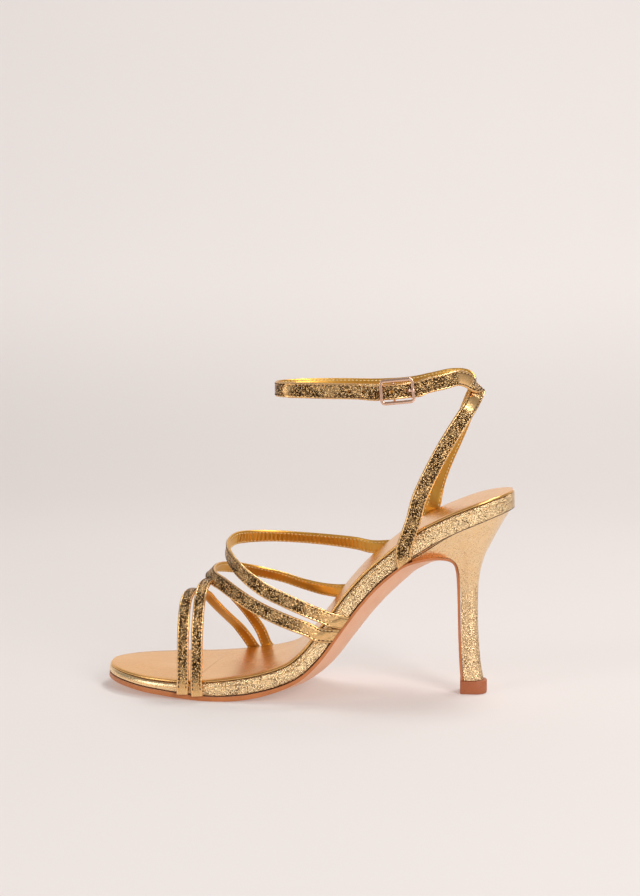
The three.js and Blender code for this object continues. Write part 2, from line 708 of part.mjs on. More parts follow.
// The width of an instep strap stands up and leans in over the foot, by each row's lean in degrees
function instepStrap(rows, arch) {
  const points = rows.map((row) => strapPoint(row, arch));
  const guide = (place, tangent) => {
    const i = Math.min(Math.floor(place), rows.length - 2);
    const lean = THREE.MathUtils.degToRad(THREE.MathUtils.lerp(rows[i].lean, rows[i + 1].lean, place - i));
    const inward = new THREE.Vector3(tangent.y, -tangent.x, 0).normalize();
    return new THREE.Vector3(0, 0, Math.cos(lean)).addScaledVector(inward, Math.sin(lean));
  };
  return band(bandStations(points, 2, guide), instepStrapWidth, strapThickness);
}

function join(...geometries) {
  return geometries.map(toSolid).reduce((whole, piece) => whole.add(piece));
}

// Everything under the outsole's upper face, which trims the straps' ends along its edge
function makeUnderSole() {
  const below = 2 * footbedThickness;
  return cutter(
    outsoleCuts().filter((cut) => cut.point.x < (outsoleLeaves + 0.03) * soleLength),
    (cut, share) => cut.keel * keelShape(share) - clearance,
    (cut, share) => cut.keel * keelShape(share) + below,
  );
}

// The footbed with its clearance, which no strap's foot enters
function makeFootbedRoom() {
  return toSolid(loft(soleStations.map((along) => {
    const place = solePlace(along);
    const wide = { ...place, lateral: place.lateral + clearance, medial: place.medial + clearance };
    const low = place.thick + outsoleThickness;
    return [[-1, 0], [1, 0], [1, low], [-1, low]].map(([share, depth]) => cutPoint(wide, share, depth));
  })));
}

const soleRoom = makeUnderSole().add(makeFootbedRoom());

function makeFrontToeStrap() {
  return toGeometry(toSolid(toeStrap(frontToeRows, frontToeArch)).subtract(soleRoom));
}

// The rear toe strap and the two instep straps are joined where they meet
function makeInstepStraps() {
  return toGeometry(join(
    toeStrap(rearToeRows, rearToeArch),
    instepStrap(lowerInstepRows, lowerInstepArch),
    instepStrap(upperInstepRows, upperInstepArch),
  ).subtract(soleRoom));
}

// Ankle straps and buckle

const ankleLevel = column(ankleRows, 'level');
const ankleFront = ankleRows[0].along * soleLength;
const ankleSwing = last.swing(0.67) * ballWidth;

// A point of the ankle loop: turn in degrees from the back round the outer side, stand is how far out it lies
function anklePoint(turn, stand = 0) {
  const angle = THREE.MathUtils.degToRad(turn);
  const square = 0.86;
  const bend = (value) => Math.sign(value) * Math.abs(value) ** square;
  const radiusX = ankleLoopLength / 2 + stand;
  const radiusY = ankleLoopWidth / 2 + stand;
  const x = ankleFront + ankleLoopLength / 2 + radiusX * bend(Math.cos(angle));
  const y = ankleSwing - radiusY * bend(Math.sin(angle));
  return new THREE.Vector3(x, y, ankleLevel(x / soleLength) * ankleHeight);
}

function turns(from, to, count, stand) {
  return Array.from({ length: count + 1 }, (_, i) => {
    const turn = THREE.MathUtils.lerp(from, to, i / count);
    return anklePoint(turn, stand(turn));
  });
}

function legPoint(row, stand = 0) {
  const base = topHeight(row.along);
  const z = base + row.reach * (ankleHeight - base);
  return new THREE.Vector3(row.along * soleLength + stand, ankleSwing + row.across * ankleLoopWidth / 2, z);
}

// The straps' width follows the legs' slant below and stands upright round the ankle
const slant = new THREE.Vector3(0.75, 0, -0.66);
const upright = new THREE.Vector3(0, 0, -1);

function ankleGuide(legCount) {
  const bendCount = 2;
  return (place) => {
    return slant.clone().lerp(upright, THREE.MathUtils.smoothstep(place, legCount, legCount + bendCount));
  };
}

// The buckle's place: along the strap towards the heel, up, and out from the ankle
const buckleTurn = 80.5;
const buckleAlong = anklePoint(buckleTurn - 6).sub(anklePoint(buckleTurn + 6)).normalize();
const buckleOut = new THREE.Vector3(buckleAlong.y, -buckleAlong.x, 0).normalize();
const buckleUp = new THREE.Vector3().crossVectors(buckleOut, buckleAlong);
const buckleCentre = anklePoint(buckleTurn);
const buckleMatrix = new THREE.Matrix4().makeBasis(buckleAlong, buckleUp, buckleOut);
buckleMatrix.setPosition(buckleCentre);

function atBuckle(along, out, up = 0) {
  return new THREE.Vector3(along, up, out).applyMatrix4(buckleMatrix);
}

// Depths at the buckle, outwards from the strap that carries it
const foldThickness = 0.62 * strapThickness;
const pivotRadius = 0.4 * buckleBar;
const foldRadius = pivotRadius + clearance + foldThickness / 2;
const pivotOut = foldRadius - clearance;
const pivotAt = freeEndRows[4].at * buckleLength;
const overPivot = pivotOut + foldRadius + foldThickness / 2 + clearance + strapThickness / 2;
const frameOut = sideBySide + strapThickness / 2 + clearance + buckleBar / 2;
const prongRest = frameOut + buckleBar / 2 + clearance + prongThickness / 2;
const slotWidth = prongWidth + 2.6 * clearance;
const slotLength = 3.6 * prongThickness;
const prongHoleAt = 0.28 * buckleLength;

function box(sizeAlong, sizeUp, sizeOut, along, up, out) {
  const geometry = new THREE.BoxGeometry(sizeAlong, sizeUp, sizeOut);
  return geometry.translate(along, up, out).applyMatrix4(buckleMatrix);
}

// From the outer side of the sole, over the other strap behind the ankle, round the inner side and the
// front, and back on the outer side to the fold that holds the buckle's pivot bar
function buckleStrap() {
  const points = [
    ...lateralFootRows.map((row) => strapPoint(row)),
    ...lateralLegRows.map((row) => legPoint(row)),
    ...turns(0, -270, 18, () => 0),
    atBuckle(-0.40 * buckleLength, 0),
    atBuckle(-0.25 * buckleLength, 0.4 * (pivotOut - foldRadius)),
    atBuckle(pivotAt, pivotOut - foldRadius),
  ];
  const legCount = lateralFootRows.length + lateralLegRows.length;
  const stations = bandStations(points, 2, ankleGuide(legCount));
  for (const station of stations.slice(-6)) {
    const along = station.point.clone().sub(buckleCentre).dot(buckleAlong) / buckleLength;
    station.slim = THREE.MathUtils.lerp(1, 0.62, THREE.MathUtils.smoothstep(along, -0.42, -0.2));
  }
  const fold = [-80, -45, -10, 25, 60, 95].map((degrees) => {
    const angle = THREE.MathUtils.degToRad(degrees);
    return atBuckle(pivotAt + foldRadius * Math.cos(angle), pivotOut + foldRadius * Math.sin(angle));
  });
  const turned = [
    atBuckle(pivotAt - foldRadius, pivotOut - foldRadius),
    ...fold,
    atBuckle(pivotAt - foldRadius, 0.9 * (pivotOut + foldRadius)),
    atBuckle(pivotAt - 2.1 * foldRadius, 0.6 * (pivotOut + foldRadius)),
    atBuckle(pivotAt - 3 * foldRadius, 0.52 * (pivotOut + foldRadius)),
  ];
  const foldWidth = ankleStrapWidth - 0.1;
  const seamAt = pivotAt - 2.6 * foldRadius;
  const seamOut = pivotOut - 0.35;
  const seam = box(foldRadius, foldWidth - strapCorner, 2 * foldRadius, seamAt, 0, seamOut);
  const slotDepth = 4 * strapThickness;
  const foldSlotLength = 3.4 * foldRadius;
  const slot = box(foldSlotLength, slotWidth, slotDepth, pivotAt, 0, pivotOut);
  return join(
    band(stations, ankleStrapWidth, strapThickness),
    band(bandStations(turned, 1, () => buckleUp.clone().negate()), foldWidth, foldThickness),
    seam,
  ).subtract(toSolid(slot));
}

// From the inner side of the sole, under the other strap behind the ankle, along the outer side, through
// the buckle and on over the other strap to its free tip
function freeStrap() {
  // under the other strap behind the ankle, then beside it beyond the buckle
  const under = -0.65 * strapThickness;
  const beside = 1.06 * sideBySide;
  const stand = (turn) => {
    const out = THREE.MathUtils.smoothstep(turn, 20, 66);
    return THREE.MathUtils.lerp(under, sideBySide, out);
  };
  const points = [
    ...medialFootRows.map((row) => strapPoint(row)),
    ...medialLegRows.map((row) => legPoint(row, under * THREE.MathUtils.smoothstep(row.reach, 0.4, 1))),
    ...turns(0, 66, 5, stand),
    ...freeEndRows.map(({ at, rise }) => {
      return atBuckle(at * buckleLength, THREE.MathUtils.lerp(sideBySide, overPivot, rise));
    }),
    ...turns(97, 143, 3, () => beside),
  ];
  const legCount = medialFootRows.length + medialLegRows.length;
  const stations = bandStations(points, 2, ankleGuide(legCount));
  const tip = stations.at(-1);
  for (const share of [0.3, 0.6, 0.85]) {
    const point = tip.point.clone().addScaledVector(tip.tangent, share * ankleStrapWidth * 0.36);
    stations.push({ ...tip, point, scale: Math.sqrt(1 - share * share) });
  }
  let strap = toSolid(band(stations, ankleStrapWidth, strapThickness));
  const fine = bandStations(points, 40, ankleGuide(legCount)).slice(40 * legCount);
  for (let i = 1; i < strapHoleCount; i += 1) {
    const wanted = prongHoleAt - i * strapHolePitch;
    const along = (station) => station.point.clone().sub(buckleCentre).dot(buckleAlong);
    const station = fine.reduce((best, next) => {
      return Math.abs(along(next) - wanted) < Math.abs(along(best) - wanted) ? next : best;
    });
    const drill = new THREE.CylinderGeometry(strapHoleSize / 2, strapHoleSize / 2, 3 * strapThickness, 8);
    drill.applyQuaternion(new THREE.Quaternion().setFromUnitVectors(new THREE.Vector3(0, 1, 0), station.out));
    drill.translate(...station.point);
    strap = strap.subtract(toSolid(drill));
  }
  const slotDepth = 6 * strapThickness;
  return strap.subtract(toSolid(box(slotLength, slotWidth, slotDepth, prongHoleAt, 0, sideBySide)));
}

function makeAnkleStraps() {
  return toGeometry(buckleStrap().add(freeStrap()).subtract(soleRoom));
}

function roundedRectangle(path, halfLength, halfHeight, radius) {
  path.moveTo(halfLength, halfHeight - radius);
  path.absarc(halfLength - radius, halfHeight - radius, radius, 0, Math.PI / 2);
  path.absarc(radius - halfLength, halfHeight - radius, radius, Math.PI / 2, Math.PI);
  path.absarc(radius - halfLength, radius - halfHeight, radius, Math.PI, 1.5 * Math.PI);
  path.absarc(halfLength - radius, radius - halfHeight, radius, 1.5 * Math.PI, 2 * Math.PI);
  return path;
}

// The frame lies over the free strap, its pivot bar under it, joined by an ear at each end
function makeBuckle() {
  const bevel = 0.25 * buckleBar;
  const [halfLength, halfHeight] = [buckleLength / 2, buckleHeight / 2];
  const wire = (path, inset) => {
    return roundedRectangle(path, halfLength - inset, halfHeight - inset, buckleRound - inset);
  };
  const outline = wire(new THREE.Shape(), bevel);
  outline.holes.push(wire(new THREE.Path(), buckleBar - bevel));
  const frame = new THREE.ExtrudeGeometry(outline, {
    depth: buckleBar - 2 * bevel,
    bevelThickness: bevel,
    bevelSize: bevel,
    bevelSegments: 1,
    curveSegments: 3,
  });
  frame.translate(0, 0, frameOut - buckleBar / 2 + bevel).applyMatrix4(buckleMatrix);
  const reach = buckleHeight - buckleBar;
  const pivot = new THREE.CylinderGeometry(pivotRadius, pivotRadius, reach, 10);
  pivot.translate(pivotAt, 0, pivotOut).applyMatrix4(buckleMatrix);
  const earSize = 0.8 * buckleBar;
  const ears = [-1, 1].map((side) => {
    return box(2 * pivotRadius, earSize, frameOut - pivotOut + pivotRadius,
      pivotAt, side * reach / 2, (frameOut + pivotOut - pivotRadius) / 2);
  });
  return toGeometry(join(frame, pivot, ...ears));
}

function makeProng() {
  const ringRadius = pivotRadius + clearance + prongThickness / 2;
  const ring = new THREE.TorusGeometry(ringRadius, prongThickness / 2, 6, 14);
  ring.rotateX(Math.PI / 2).translate(pivotAt, 0, pivotOut).applyMatrix4(buckleMatrix);
  const low = pivotOut - 0.2;
  const points = prongRows.map(({ at, rise }) => {
    return atBuckle(at * buckleLength, THREE.MathUtils.lerp(low, prongRest, rise));
  });
  const rod = band(bandStations(points, 2, () => buckleUp), prongWidth, prongThickness, 0.3);
  return toGeometry(join(ring, rod));
}

const sandal = new THREE.Group();

function addPiece(name, geometry, material) {
  const mesh = new THREE.Mesh(geometry, material);
  mesh.name = name;
  sandal.add(mesh);
}

const foil = { color: 0xd9b070, roughness: 0.35, metalness: 0.9 };
const sock = { color: 0xe4b87e, roughness: 0.2, metalness: 0.9 };
const soleLeather = { color: 0xb8703f, roughness: 0.5, metalness: 0 };
const tipRubber = { color: 0x9a5230, roughness: 0.5, metalness: 0 };
const roseGold = { color: 0xe6b9a0, roughness: 0.25, metalness: 1 };
addPiece('outsole', makeOutsole(), new THREE.MeshStandardMaterial(soleLeather));
addPiece('footbed', makeFootbed(), new THREE.MeshStandardMaterial(foil));
addPiece('insole', makeInsole(), new THREE.MeshStandardMaterial(sock));
addPiece('heel', makeHeel(), new THREE.MeshStandardMaterial(foil));
addPiece('heel_tip', makeHeelTip(), new THREE.MeshStandardMaterial(tipRubber));
addPiece('front_toe_strap', makeFrontToeStrap(), new THREE.MeshStandardMaterial(foil));
addPiece('instep_straps', makeInstepStraps(), new THREE.MeshStandardMaterial(foil));
addPiece('ankle_straps', makeAnkleStraps(), new THREE.MeshStandardMaterial(foil));
addPiece('buckle_frame', makeBuckle(), new THREE.MeshStandardMaterial(roseGold));
addPiece('buckle_prong', makeProng(), new THREE.MeshStandardMaterial(roseGold));

// The origin is the middle of the sandal's bounds on the floor
const bounds = new THREE.Box3().setFromObject(sandal);
const middle = bounds.getCenter(new THREE.Vector3());
for (const piece of sandal.children) piece.geometry.translate(-middle.x, -middle.y, -bounds.min.z);

export default sandal;
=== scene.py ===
# %% [markdown]
# # A strappy evening sandal on a stiletto heel
# This notebook dresses a plain CAD sandal so that it looks like the real one: crinkled gold foil leather,
# a smooth gold sock, a rust-brown sole edge and a small rose-gold buckle.
# Everything is made round the CAD parts, in metres, in their own frame: the toe points to -X, the outer
# side of the foot is at -Y and the floor is at Z = 0.

# %% Load the CAD sandal
import math

import bmesh
import bpy
import numpy as np
from mathutils import Matrix, Vector


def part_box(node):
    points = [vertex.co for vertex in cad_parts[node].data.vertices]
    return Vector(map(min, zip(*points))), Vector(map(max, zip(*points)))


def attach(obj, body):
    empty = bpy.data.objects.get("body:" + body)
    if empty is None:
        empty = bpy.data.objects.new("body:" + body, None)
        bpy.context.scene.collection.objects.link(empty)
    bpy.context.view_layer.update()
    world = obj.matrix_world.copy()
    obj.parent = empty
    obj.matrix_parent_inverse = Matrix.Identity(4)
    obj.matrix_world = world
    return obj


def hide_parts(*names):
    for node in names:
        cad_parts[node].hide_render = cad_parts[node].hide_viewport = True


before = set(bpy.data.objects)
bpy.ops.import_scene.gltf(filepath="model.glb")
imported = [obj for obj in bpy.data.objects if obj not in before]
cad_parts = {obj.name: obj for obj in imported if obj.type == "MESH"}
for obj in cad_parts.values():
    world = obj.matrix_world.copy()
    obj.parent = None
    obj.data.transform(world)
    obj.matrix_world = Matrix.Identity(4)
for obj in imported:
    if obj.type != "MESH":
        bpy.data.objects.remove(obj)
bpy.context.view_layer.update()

MM = 0.001
print("CAD parts:", ", ".join(sorted(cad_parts)))

# %% [markdown]
# ## Small tools of the workshop
# The straps are cut from the same few numbers that a maker would use: section tables, read with a smooth
# curve that never overshoots its rows. The curve here is a monotone cubic, a common choice for lasts and
# hulls, because a wavy interpolation would show as dents in shiny foil.

# %% Read a table as a smooth curve


def lerp(a, b, t):
    return a + (b - a) * t


def clamp(value, low=0.0, high=1.0):
    return max(low, min(high, value))


def smoothstep(value, low, high):
    t = clamp((value - low) / (high - low))
    return t * t * (3 - 2 * t)


def column(rows, key):
    at = [row[0] for row in rows]
    value = [row[key] for row in rows]
    steps = [b - a for a, b in zip(at, at[1:])]
    slopes = [(b - a) / step for a, b, step in zip(value, value[1:], steps)]
    tangents = [slopes[0]]
    for before, after in zip(slopes, slopes[1:]):
        tangents.append(0.0 if before * after <= 0 else 2 * before * after / (before + after))
    tangents.append(slopes[-1])

    def read(where):
        i = 0
        while i < len(steps) - 1 and where > at[i + 1]:
            i += 1
        t = clamp((where - at[i]) / steps[i])
        left = value[i] * (1 + 2 * t) * (1 - t) ** 2 + tangents[i] * steps[i] * t * (1 - t) ** 2
        right = value[i + 1] * (3 - 2 * t) * t ** 2 - tangents[i + 1] * steps[i] * (1 - t) * t ** 2
        return left + right

    return read


check = column([(0.0, 0.0), (1.0, 1.0), (2.0, 1.0)], 1)
print("a table read half way up and on its flat part:", round(check(0.5), 3), check(1.5))

# %% [markdown]
# ## The last
# The last is the foot-shaped form that the sole is built on. It could be sculpted, but a sculpted form is
# hard to fit other pieces to. So it is a table here, and every piece of the sole is cut from it. From toe
# to heel it gives how high the footbed lies, how thick it is, how deep its keel is under the shank and how
# far it reaches to each side.

# %% The last's sizes in millimetres
SOLE_LENGTH, BALL_WIDTH, HEEL_RISE = 216.0, 77.5, 99.0
FOOTBED_THICKNESS, INSOLE_THICKNESS, INSOLE_MARGIN = 9.4, 1.0, 1.4
OUTSOLE_THICKNESS, SHANK_SOLE_THICKNESS, KEEL_DEPTH = 2.6, 1.3, 8.4
TOE_ROUND, HEEL_ROUND, FOOTBED_CORNER = 47.0, 24.0, 2.2
TREAD_PRESS, CLEARANCE, TREAD_ALONG = 0.35, 0.3, 0.28

# along, rise, thick, keel, lateral, medial, swing
LAST_ROWS = [
    (0.0000, 0.025, 0.50, 0.00, 0.900, 0.950, 0.000),
    (0.0632, 0.013, 0.53, 0.00, 0.910, 0.980, 0.000),
    (0.1322, 0.002, 0.58, 0.00, 0.920, 1.030, 0.000),
    (0.2111, 0.000, 0.70, 0.00, 0.955, 1.045, 0.000),
    (0.2900, 0.012, 0.93, 0.00, 0.980, 1.020, 0.000),
    (0.3590, 0.034, 1.00, 0.16, 0.975, 0.970, -0.004),
    (0.4083, 0.060, 1.00, 0.38, 0.950, 0.870, -0.010),
    (0.4576, 0.099, 0.98, 0.66, 0.900, 0.770, -0.017),
    (0.4971, 0.172, 0.97, 0.84, 0.840, 0.700, -0.024),
    (0.5464, 0.318, 0.98, 0.92, 0.770, 0.635, -0.032),
    (0.5957, 0.465, 0.99, 0.98, 0.720, 0.590, -0.040),
    (0.6450, 0.586, 1.00, 1.00, 0.690, 0.575, -0.046),
    (0.7042, 0.697, 1.02, 0.90, 0.675, 0.580, -0.053),
    (0.7732, 0.808, 1.10, 0.50, 0.670, 0.615, -0.060),
    (0.8225, 0.866, 1.10, 0.10, 0.665, 0.630, -0.063),
    (0.8521, 0.896, 1.09, 0.00, 0.660, 0.635, -0.064),
    (0.9310, 0.960, 1.06, 0.00, 0.645, 0.632, -0.065),
    (1.0000, 1.000, 1.02, 0.00, 0.632, 0.632, -0.065),
]
OUTSOLE_ROWS = [(0.0, 0.15), (0.2111, 0.0), (0.3689, 0.0), (0.4872, 0.7), (0.5858, 1.0), (1.0, 1.0)]

rise, thick, keel, lateral, medial, swing = [column(LAST_ROWS, key) for key in range(1, 7)]
outsole_thin = column(OUTSOLE_ROWS, 1)
FOREFOOT_TOP = (
    OUTSOLE_THICKNESS + CLEARANCE + FOOTBED_THICKNESS * thick(TREAD_ALONG)
    - HEEL_RISE * rise(TREAD_ALONG) - TREAD_PRESS
)
SEAT_HEIGHT = FOREFOOT_TOP + HEEL_RISE


def top_height(along):
    return FOREFOOT_TOP + HEEL_RISE * rise(along)


def rounded_end(distance, radius):
    t = clamp(1 - distance / radius)
    return math.sqrt(1 - t * t)


class Cut:
    """One cut across the sole: its place, the direction out of the footbed and its half widths."""

    def __init__(self, along):
        reach = 0.004
        low, high = max(along - reach, 0.0), min(along + reach, 1.0)
        slope = math.atan2(top_height(high) - top_height(low), (high - low) * SOLE_LENGTH)
        lean = slope * (1 - 0.9 * smoothstep(along, 0.84, 1.0))
        opened = min(
            rounded_end(along * SOLE_LENGTH, TOE_ROUND),
            rounded_end((1 - along) * SOLE_LENGTH, HEEL_ROUND),
        )
        self.along = along
        self.point = Vector((along * SOLE_LENGTH, swing(along) * BALL_WIDTH, top_height(along)))
        self.normal = Vector((-math.sin(lean), 0, math.cos(lean)))
        self.full = (lateral(along) * BALL_WIDTH / 2, medial(along) * BALL_WIDTH / 2)
        self.half = (self.full[0] * opened, self.full[1] * opened)
        self.thick = thick(along) * FOOTBED_THICKNESS
        self.keel = keel(along) * KEEL_DEPTH
        self.sole = lerp(OUTSOLE_THICKNESS, SHANK_SOLE_THICKNESS, outsole_thin(along))

    def at(self, share, depth, inset=0.0):
        half = self.half[0] if share < 0 else self.half[1]
        drawn_in = min(inset, half * 0.5) * abs(share)
        y = self.point.y + math.copysign(abs(share) * half - drawn_in, share)
        return Vector((self.point.x, y, self.point.z)) - self.normal * depth


def keel_shape(share):
    return max(0.0, 1 - share * share)


print("footbed top at the ball and seat, mm:", round(FOREFOOT_TOP, 2), round(SEAT_HEIGHT, 2))

# %% [markdown]
# ## From the maker's frame to the CAD frame
# The tables start at the toe tip, but the CAD sandal is centred on its box. The heel tip is a plain block
# with known sizes, so its box in the CAD model gives the step between the two frames exactly.

# %% Find the step between the frames
HEEL_TIP_HEIGHT, HEEL_TIP_LENGTH, HEEL_TIP_WIDTH = 7.0, 14.2, 12.8
BREAST_END = 0.8802
TIP_FRONT = BREAST_END * SOLE_LENGTH - SHANK_SOLE_THICKNESS - CLEARANCE
HEEL_CENTRE = swing(0.9) * BALL_WIDTH

tip_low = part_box("heel_tip")[0]
tip_corner = Vector((TIP_FRONT, HEEL_CENTRE - HEEL_TIP_WIDTH / 2, 0)) * MM
STEP = Vector((tip_low.x, tip_low.y, tip_low.z)) - tip_corner


def placed(point):
    return point * MM + STEP


print("step in mm:", [round(value / MM, 2) for value in STEP])

# %% [markdown]
# ## How a mesh is made here
# A strap or a sole is a row of closed rings joined by four-sided faces, which is what a loft does by hand.
# Rings are written in code because a sole's ring changes at every millimetre. Each piece keeps two
# numbers at its points: how far along it a point is, and how crinkled the foil is there.

# %% Loft rings into a closed piece


def deselect_all():
    if bpy.context.mode != "OBJECT":
        bpy.ops.object.mode_set(mode="OBJECT")
    bpy.ops.object.select_all(action="DESELECT")


def make_active(piece):
    deselect_all()
    piece.select_set(True)
    bpy.context.view_layer.objects.active = piece


def add_numbers(mesh, name, values):
    mesh.attributes.new(name, "FLOAT", "POINT").data.foreach_set("value", np.array(values, np.float32))


def add_mesh(name, points, faces, slots=None, numbers=None):
    mesh = bpy.data.meshes.new(name)
    mesh.from_pydata([placed(point) for point in points], [], faces)
    for key, values in (numbers or {}).items():
        add_numbers(mesh, key, values)
    if slots is not None:
        mesh.polygons.foreach_set("material_index", slots)
    piece = bpy.data.objects.new(name, mesh)
    bpy.context.scene.collection.objects.link(piece)
    return piece


def loft(name, rings, ring_slots=None, ring_numbers=None):
    count = len(rings[0])
    points = [point for ring in rings for point in ring]
    faces, slots = [], []
    for i in range(len(rings) - 1):
        for j in range(count):
            k = (j + 1) % count
            a, b = i * count + j, i * count + k
            faces.append((a, b, b + count, a + count))
            slots.append(ring_slots[j] if ring_slots else 0)
    last = (len(rings) - 1) * count
    faces.append(tuple(range(count - 1, -1, -1)))
    faces.append(tuple(range(last, last + count)))
    slots += [ring_slots[1] if ring_slots else 0] * 2
    numbers = {
        key: [value for value in values for _ in range(count)]
        for key, values in (ring_numbers or {}).items()
    }
    piece = add_mesh(name, points, faces, slots, numbers)
    face_outward(piece)
    return piece


def face_outward(piece):
    make_active(piece)
    bpy.ops.object.mode_set(mode="EDIT")
    bpy.ops.mesh.select_all(action="SELECT")
    bpy.ops.mesh.normals_make_consistent(inside=False)
    bpy.ops.mesh.select_all(action="DESELECT")
    bpy.ops.object.mode_set(mode="OBJECT")


def smooth(piece, degrees=40):
    make_active(piece)
    bpy.ops.object.shade_smooth_by_angle(angle=math.radians(degrees))


def apply_modifier(piece, kind, **settings):
    make_active(piece)
    modifier = piece.modifiers.new("step", kind)
    for key, value in settings.items():
        setattr(modifier, key, value)
    bpy.ops.object.modifier_apply(modifier=modifier.name)


def cut_away(piece, cutter, operation="DIFFERENCE"):
    apply_modifier(piece, "BOOLEAN", operation=operation, object=cutter, solver="EXACT")
    bpy.data.objects.remove(cutter)


print("meshes before the first piece:", len(bpy.data.meshes))

# %% [markdown]
# ## Writing a finish
# A finish is a tree of shader nodes. Sums on a number that changes over the surface are written as plain
# Python, and one small class turns them into Math nodes, so a recipe can be read like a formula.

# %% A reading of the surface, and a finish made of readings


class Reading:
    """A value that changes over the surface."""

    def __init__(self, finish, socket):
        self.finish, self.socket = finish, socket

    def sum(self, operation, first, second):
        return self.finish.node("ShaderNodeMath", {0: first, 1: second}, operation=operation)

    def __add__(self, other):
        return self.sum("ADD", self, other)

    def __sub__(self, other):
        return self.sum("SUBTRACT", self, other)

    def __rsub__(self, other):
        return self.sum("SUBTRACT", other, self)

    def __mul__(self, other):
        return self.sum("MULTIPLY", self, other)

    __radd__ = __add__
    __rmul__ = __mul__


def tone(code):
    """A colour as painters write it, turned into the linear light that shaders work in."""
    parts = [int(code[i:i + 2], 16) / 255 for i in (1, 3, 5)]
    return tuple(c / 12.92 if c <= 0.04045 else ((c + 0.055) / 1.055) ** 2.4 for c in parts) + (1.0,)


class Finish:
    """One material, built node by node."""

    def __init__(self, name, **constants):
        self.material = bpy.data.materials.new(name)
        self.material.use_nodes = True
        self.tree = self.material.node_tree
        self.tree.nodes.clear()
        self.shader = self.tree.nodes.new("ShaderNodeBsdfPrincipled")
        output = self.tree.nodes.new("ShaderNodeOutputMaterial")
        self.tree.links.new(self.shader.outputs[0], output.inputs[0])
        for key, value in constants.items():
            self.shader.inputs[key.replace("_", " ")].default_value = value

    def node(self, kind, inputs, out=0, **settings):
        made = self.tree.nodes.new(kind)
        for key, value in settings.items():
            setattr(made, key, value)
        for key, value in inputs.items():
            if isinstance(value, Reading):
                self.tree.links.new(value.socket, made.inputs[key])
            else:
                made.inputs[key].default_value = value
        return Reading(self, made.outputs[out])

    def number(self, name):
        return self.node("ShaderNodeAttribute", {}, out="Fac", attribute_name=name)

    def spot(self):
        return self.node("ShaderNodeTexCoord", {}, out="Object")

    def cloud(self, size, detail=2.0, roughness=0.5, at=None, out="Fac"):
        inputs = {"Vector": at or self.spot(), "Scale": 1 / (size * MM)}
        inputs.update({"Detail": detail, "Roughness": roughness})
        return self.node("ShaderNodeTexNoise", inputs, out=out)

    def cells(self, size, at):
        inputs = {"Vector": at, "Scale": 1 / (size * MM)}
        return self.node("ShaderNodeTexVoronoi", inputs, out="Distance", feature="DISTANCE_TO_EDGE")

    def warped(self, size, push):
        """Object coordinates, pushed about by a cloud so that no pattern on them runs straight."""
        shift = self.cloud(size, out="Color")
        centred = self.node("ShaderNodeVectorMath", {0: shift, 1: (0.5, 0.5, 0.5)}, operation="SUBTRACT")
        scaled = self.node("ShaderNodeVectorMath", {0: centred, "Scale": push * MM}, operation="SCALE")
        return self.node("ShaderNodeVectorMath", {0: self.spot(), 1: scaled}, operation="ADD")

    def between(self, value, low, high, start=0.0, end=1.0):
        """start below low, end above high, and a soft step between them."""
        inputs = {"Value": value, "From Min": low, "From Max": high, "To Min": start, "To Max": end}
        return self.node("ShaderNodeMapRange", inputs, interpolation_type="SMOOTHSTEP")

    def blend(self, share, first, second):
        return self.node("ShaderNodeMix", {0: share, 6: first, 7: second}, out=2, data_type="RGBA")

    def bump(self, height, depth):
        return self.node("ShaderNodeBump", {"Height": height, "Distance": depth * MM, "Strength": 1.0})

    def feed(self, **sockets):
        for key, value in sockets.items():
            self.tree.links.new(value.socket, self.shader.inputs[key.replace("_", " ")])
        return self.material


print("a pale gold in linear light:", [round(part, 3) for part in tone("#FFDAA0")])

# %% [markdown]
# ## Gold foil leather
# The upper is goatskin under a thin gold foil. Where the skin is flexed the foil breaks into a net of tiny
# facets: each facet is a small mirror, and the cracks between them look dark brown. Real facets would need
# millions of faces, so the shape stays smooth and the finish does it: Voronoi cells give the facets, a
# bump tilts them, and the crinkle number of each piece says where the skin has been flexed.

# %% Mix the foil
# The straps' foil tones. They are set darker than the tones of the footbed's edge and the heel as painted
# shade.
GOLD_LIGHT, GOLD, GOLD_DEEP = tone("#FFDAA0"), tone("#F2B974"), tone("#2E1A09")
CRACK_WIDTH, SPOT_EDGE, SPOT_SOFTNESS, FOIL_DEPTH = 0.14, 0.62, 0.05, 0.3


def foil_finish(name, light=GOLD_LIGHT, middle=GOLD, deep=GOLD_DEEP, cell=0.9, broken=0.5, strength=1.0):
    """broken is the share of a fully flexed skin where the foil is cracked open and looks dark."""
    foil = Finish(name, Metallic=1.0)
    crinkle = foil.number("crinkle")
    spot = foil.warped(cell * 1.3, cell)
    facet = foil.cells(cell, spot)
    crack = foil.between(facet, 0.0, CRACK_WIDTH, 1.0, 0.0)
    speck = foil.cloud(cell * 0.8, 2.0, 0.55, spot)
    edge = SPOT_EDGE - 0.22 * broken
    open_spot = foil.between(speck, edge, edge + SPOT_SOFTNESS)
    flexed = foil.between(foil.cloud(6.0, 3.0), 0.34, 0.58, 0.62, 1.0) * crinkle
    dark = foil.between(open_spot * 0.85 + crack * 0.35, 0.1, 0.95) * flexed
    tilt = foil.cloud(cell * 0.8, 3.0, 0.6)
    height = (facet * 1.3 + speck * 1.5 + tilt * 2.0) * (flexed * 0.96 + 0.04)
    tint = foil.blend(foil.cloud(2.2, 3.0), middle, light)
    return foil.feed(
        Base_Color=foil.blend(dark, tint, deep),
        Roughness=0.17 + 0.12 * tilt + 0.25 * dark,
        Normal=foil.bump(height, FOIL_DEPTH * strength),
    )


# One foil leather in three copies: the straps' darker tones are painted shade, and the paler tones of the
# footbed's edge and the heel are painted light.
foil_strap = foil_finish("foil_strap", cell=0.85, broken=0.84)
foil_edge = foil_finish("foil_edge", tone("#FFE6B8"), tone("#FFD49C"), tone("#5A3A18"), 0.78, 0.3, 0.8)
foil_heel = foil_finish("foil_heel", tone("#FFE2B8"), tone("#F8CF98"), tone("#664218"), 0.78, 0.42, 0.6)
print("foils:", foil_strap.name, foil_edge.name, foil_heel.name)

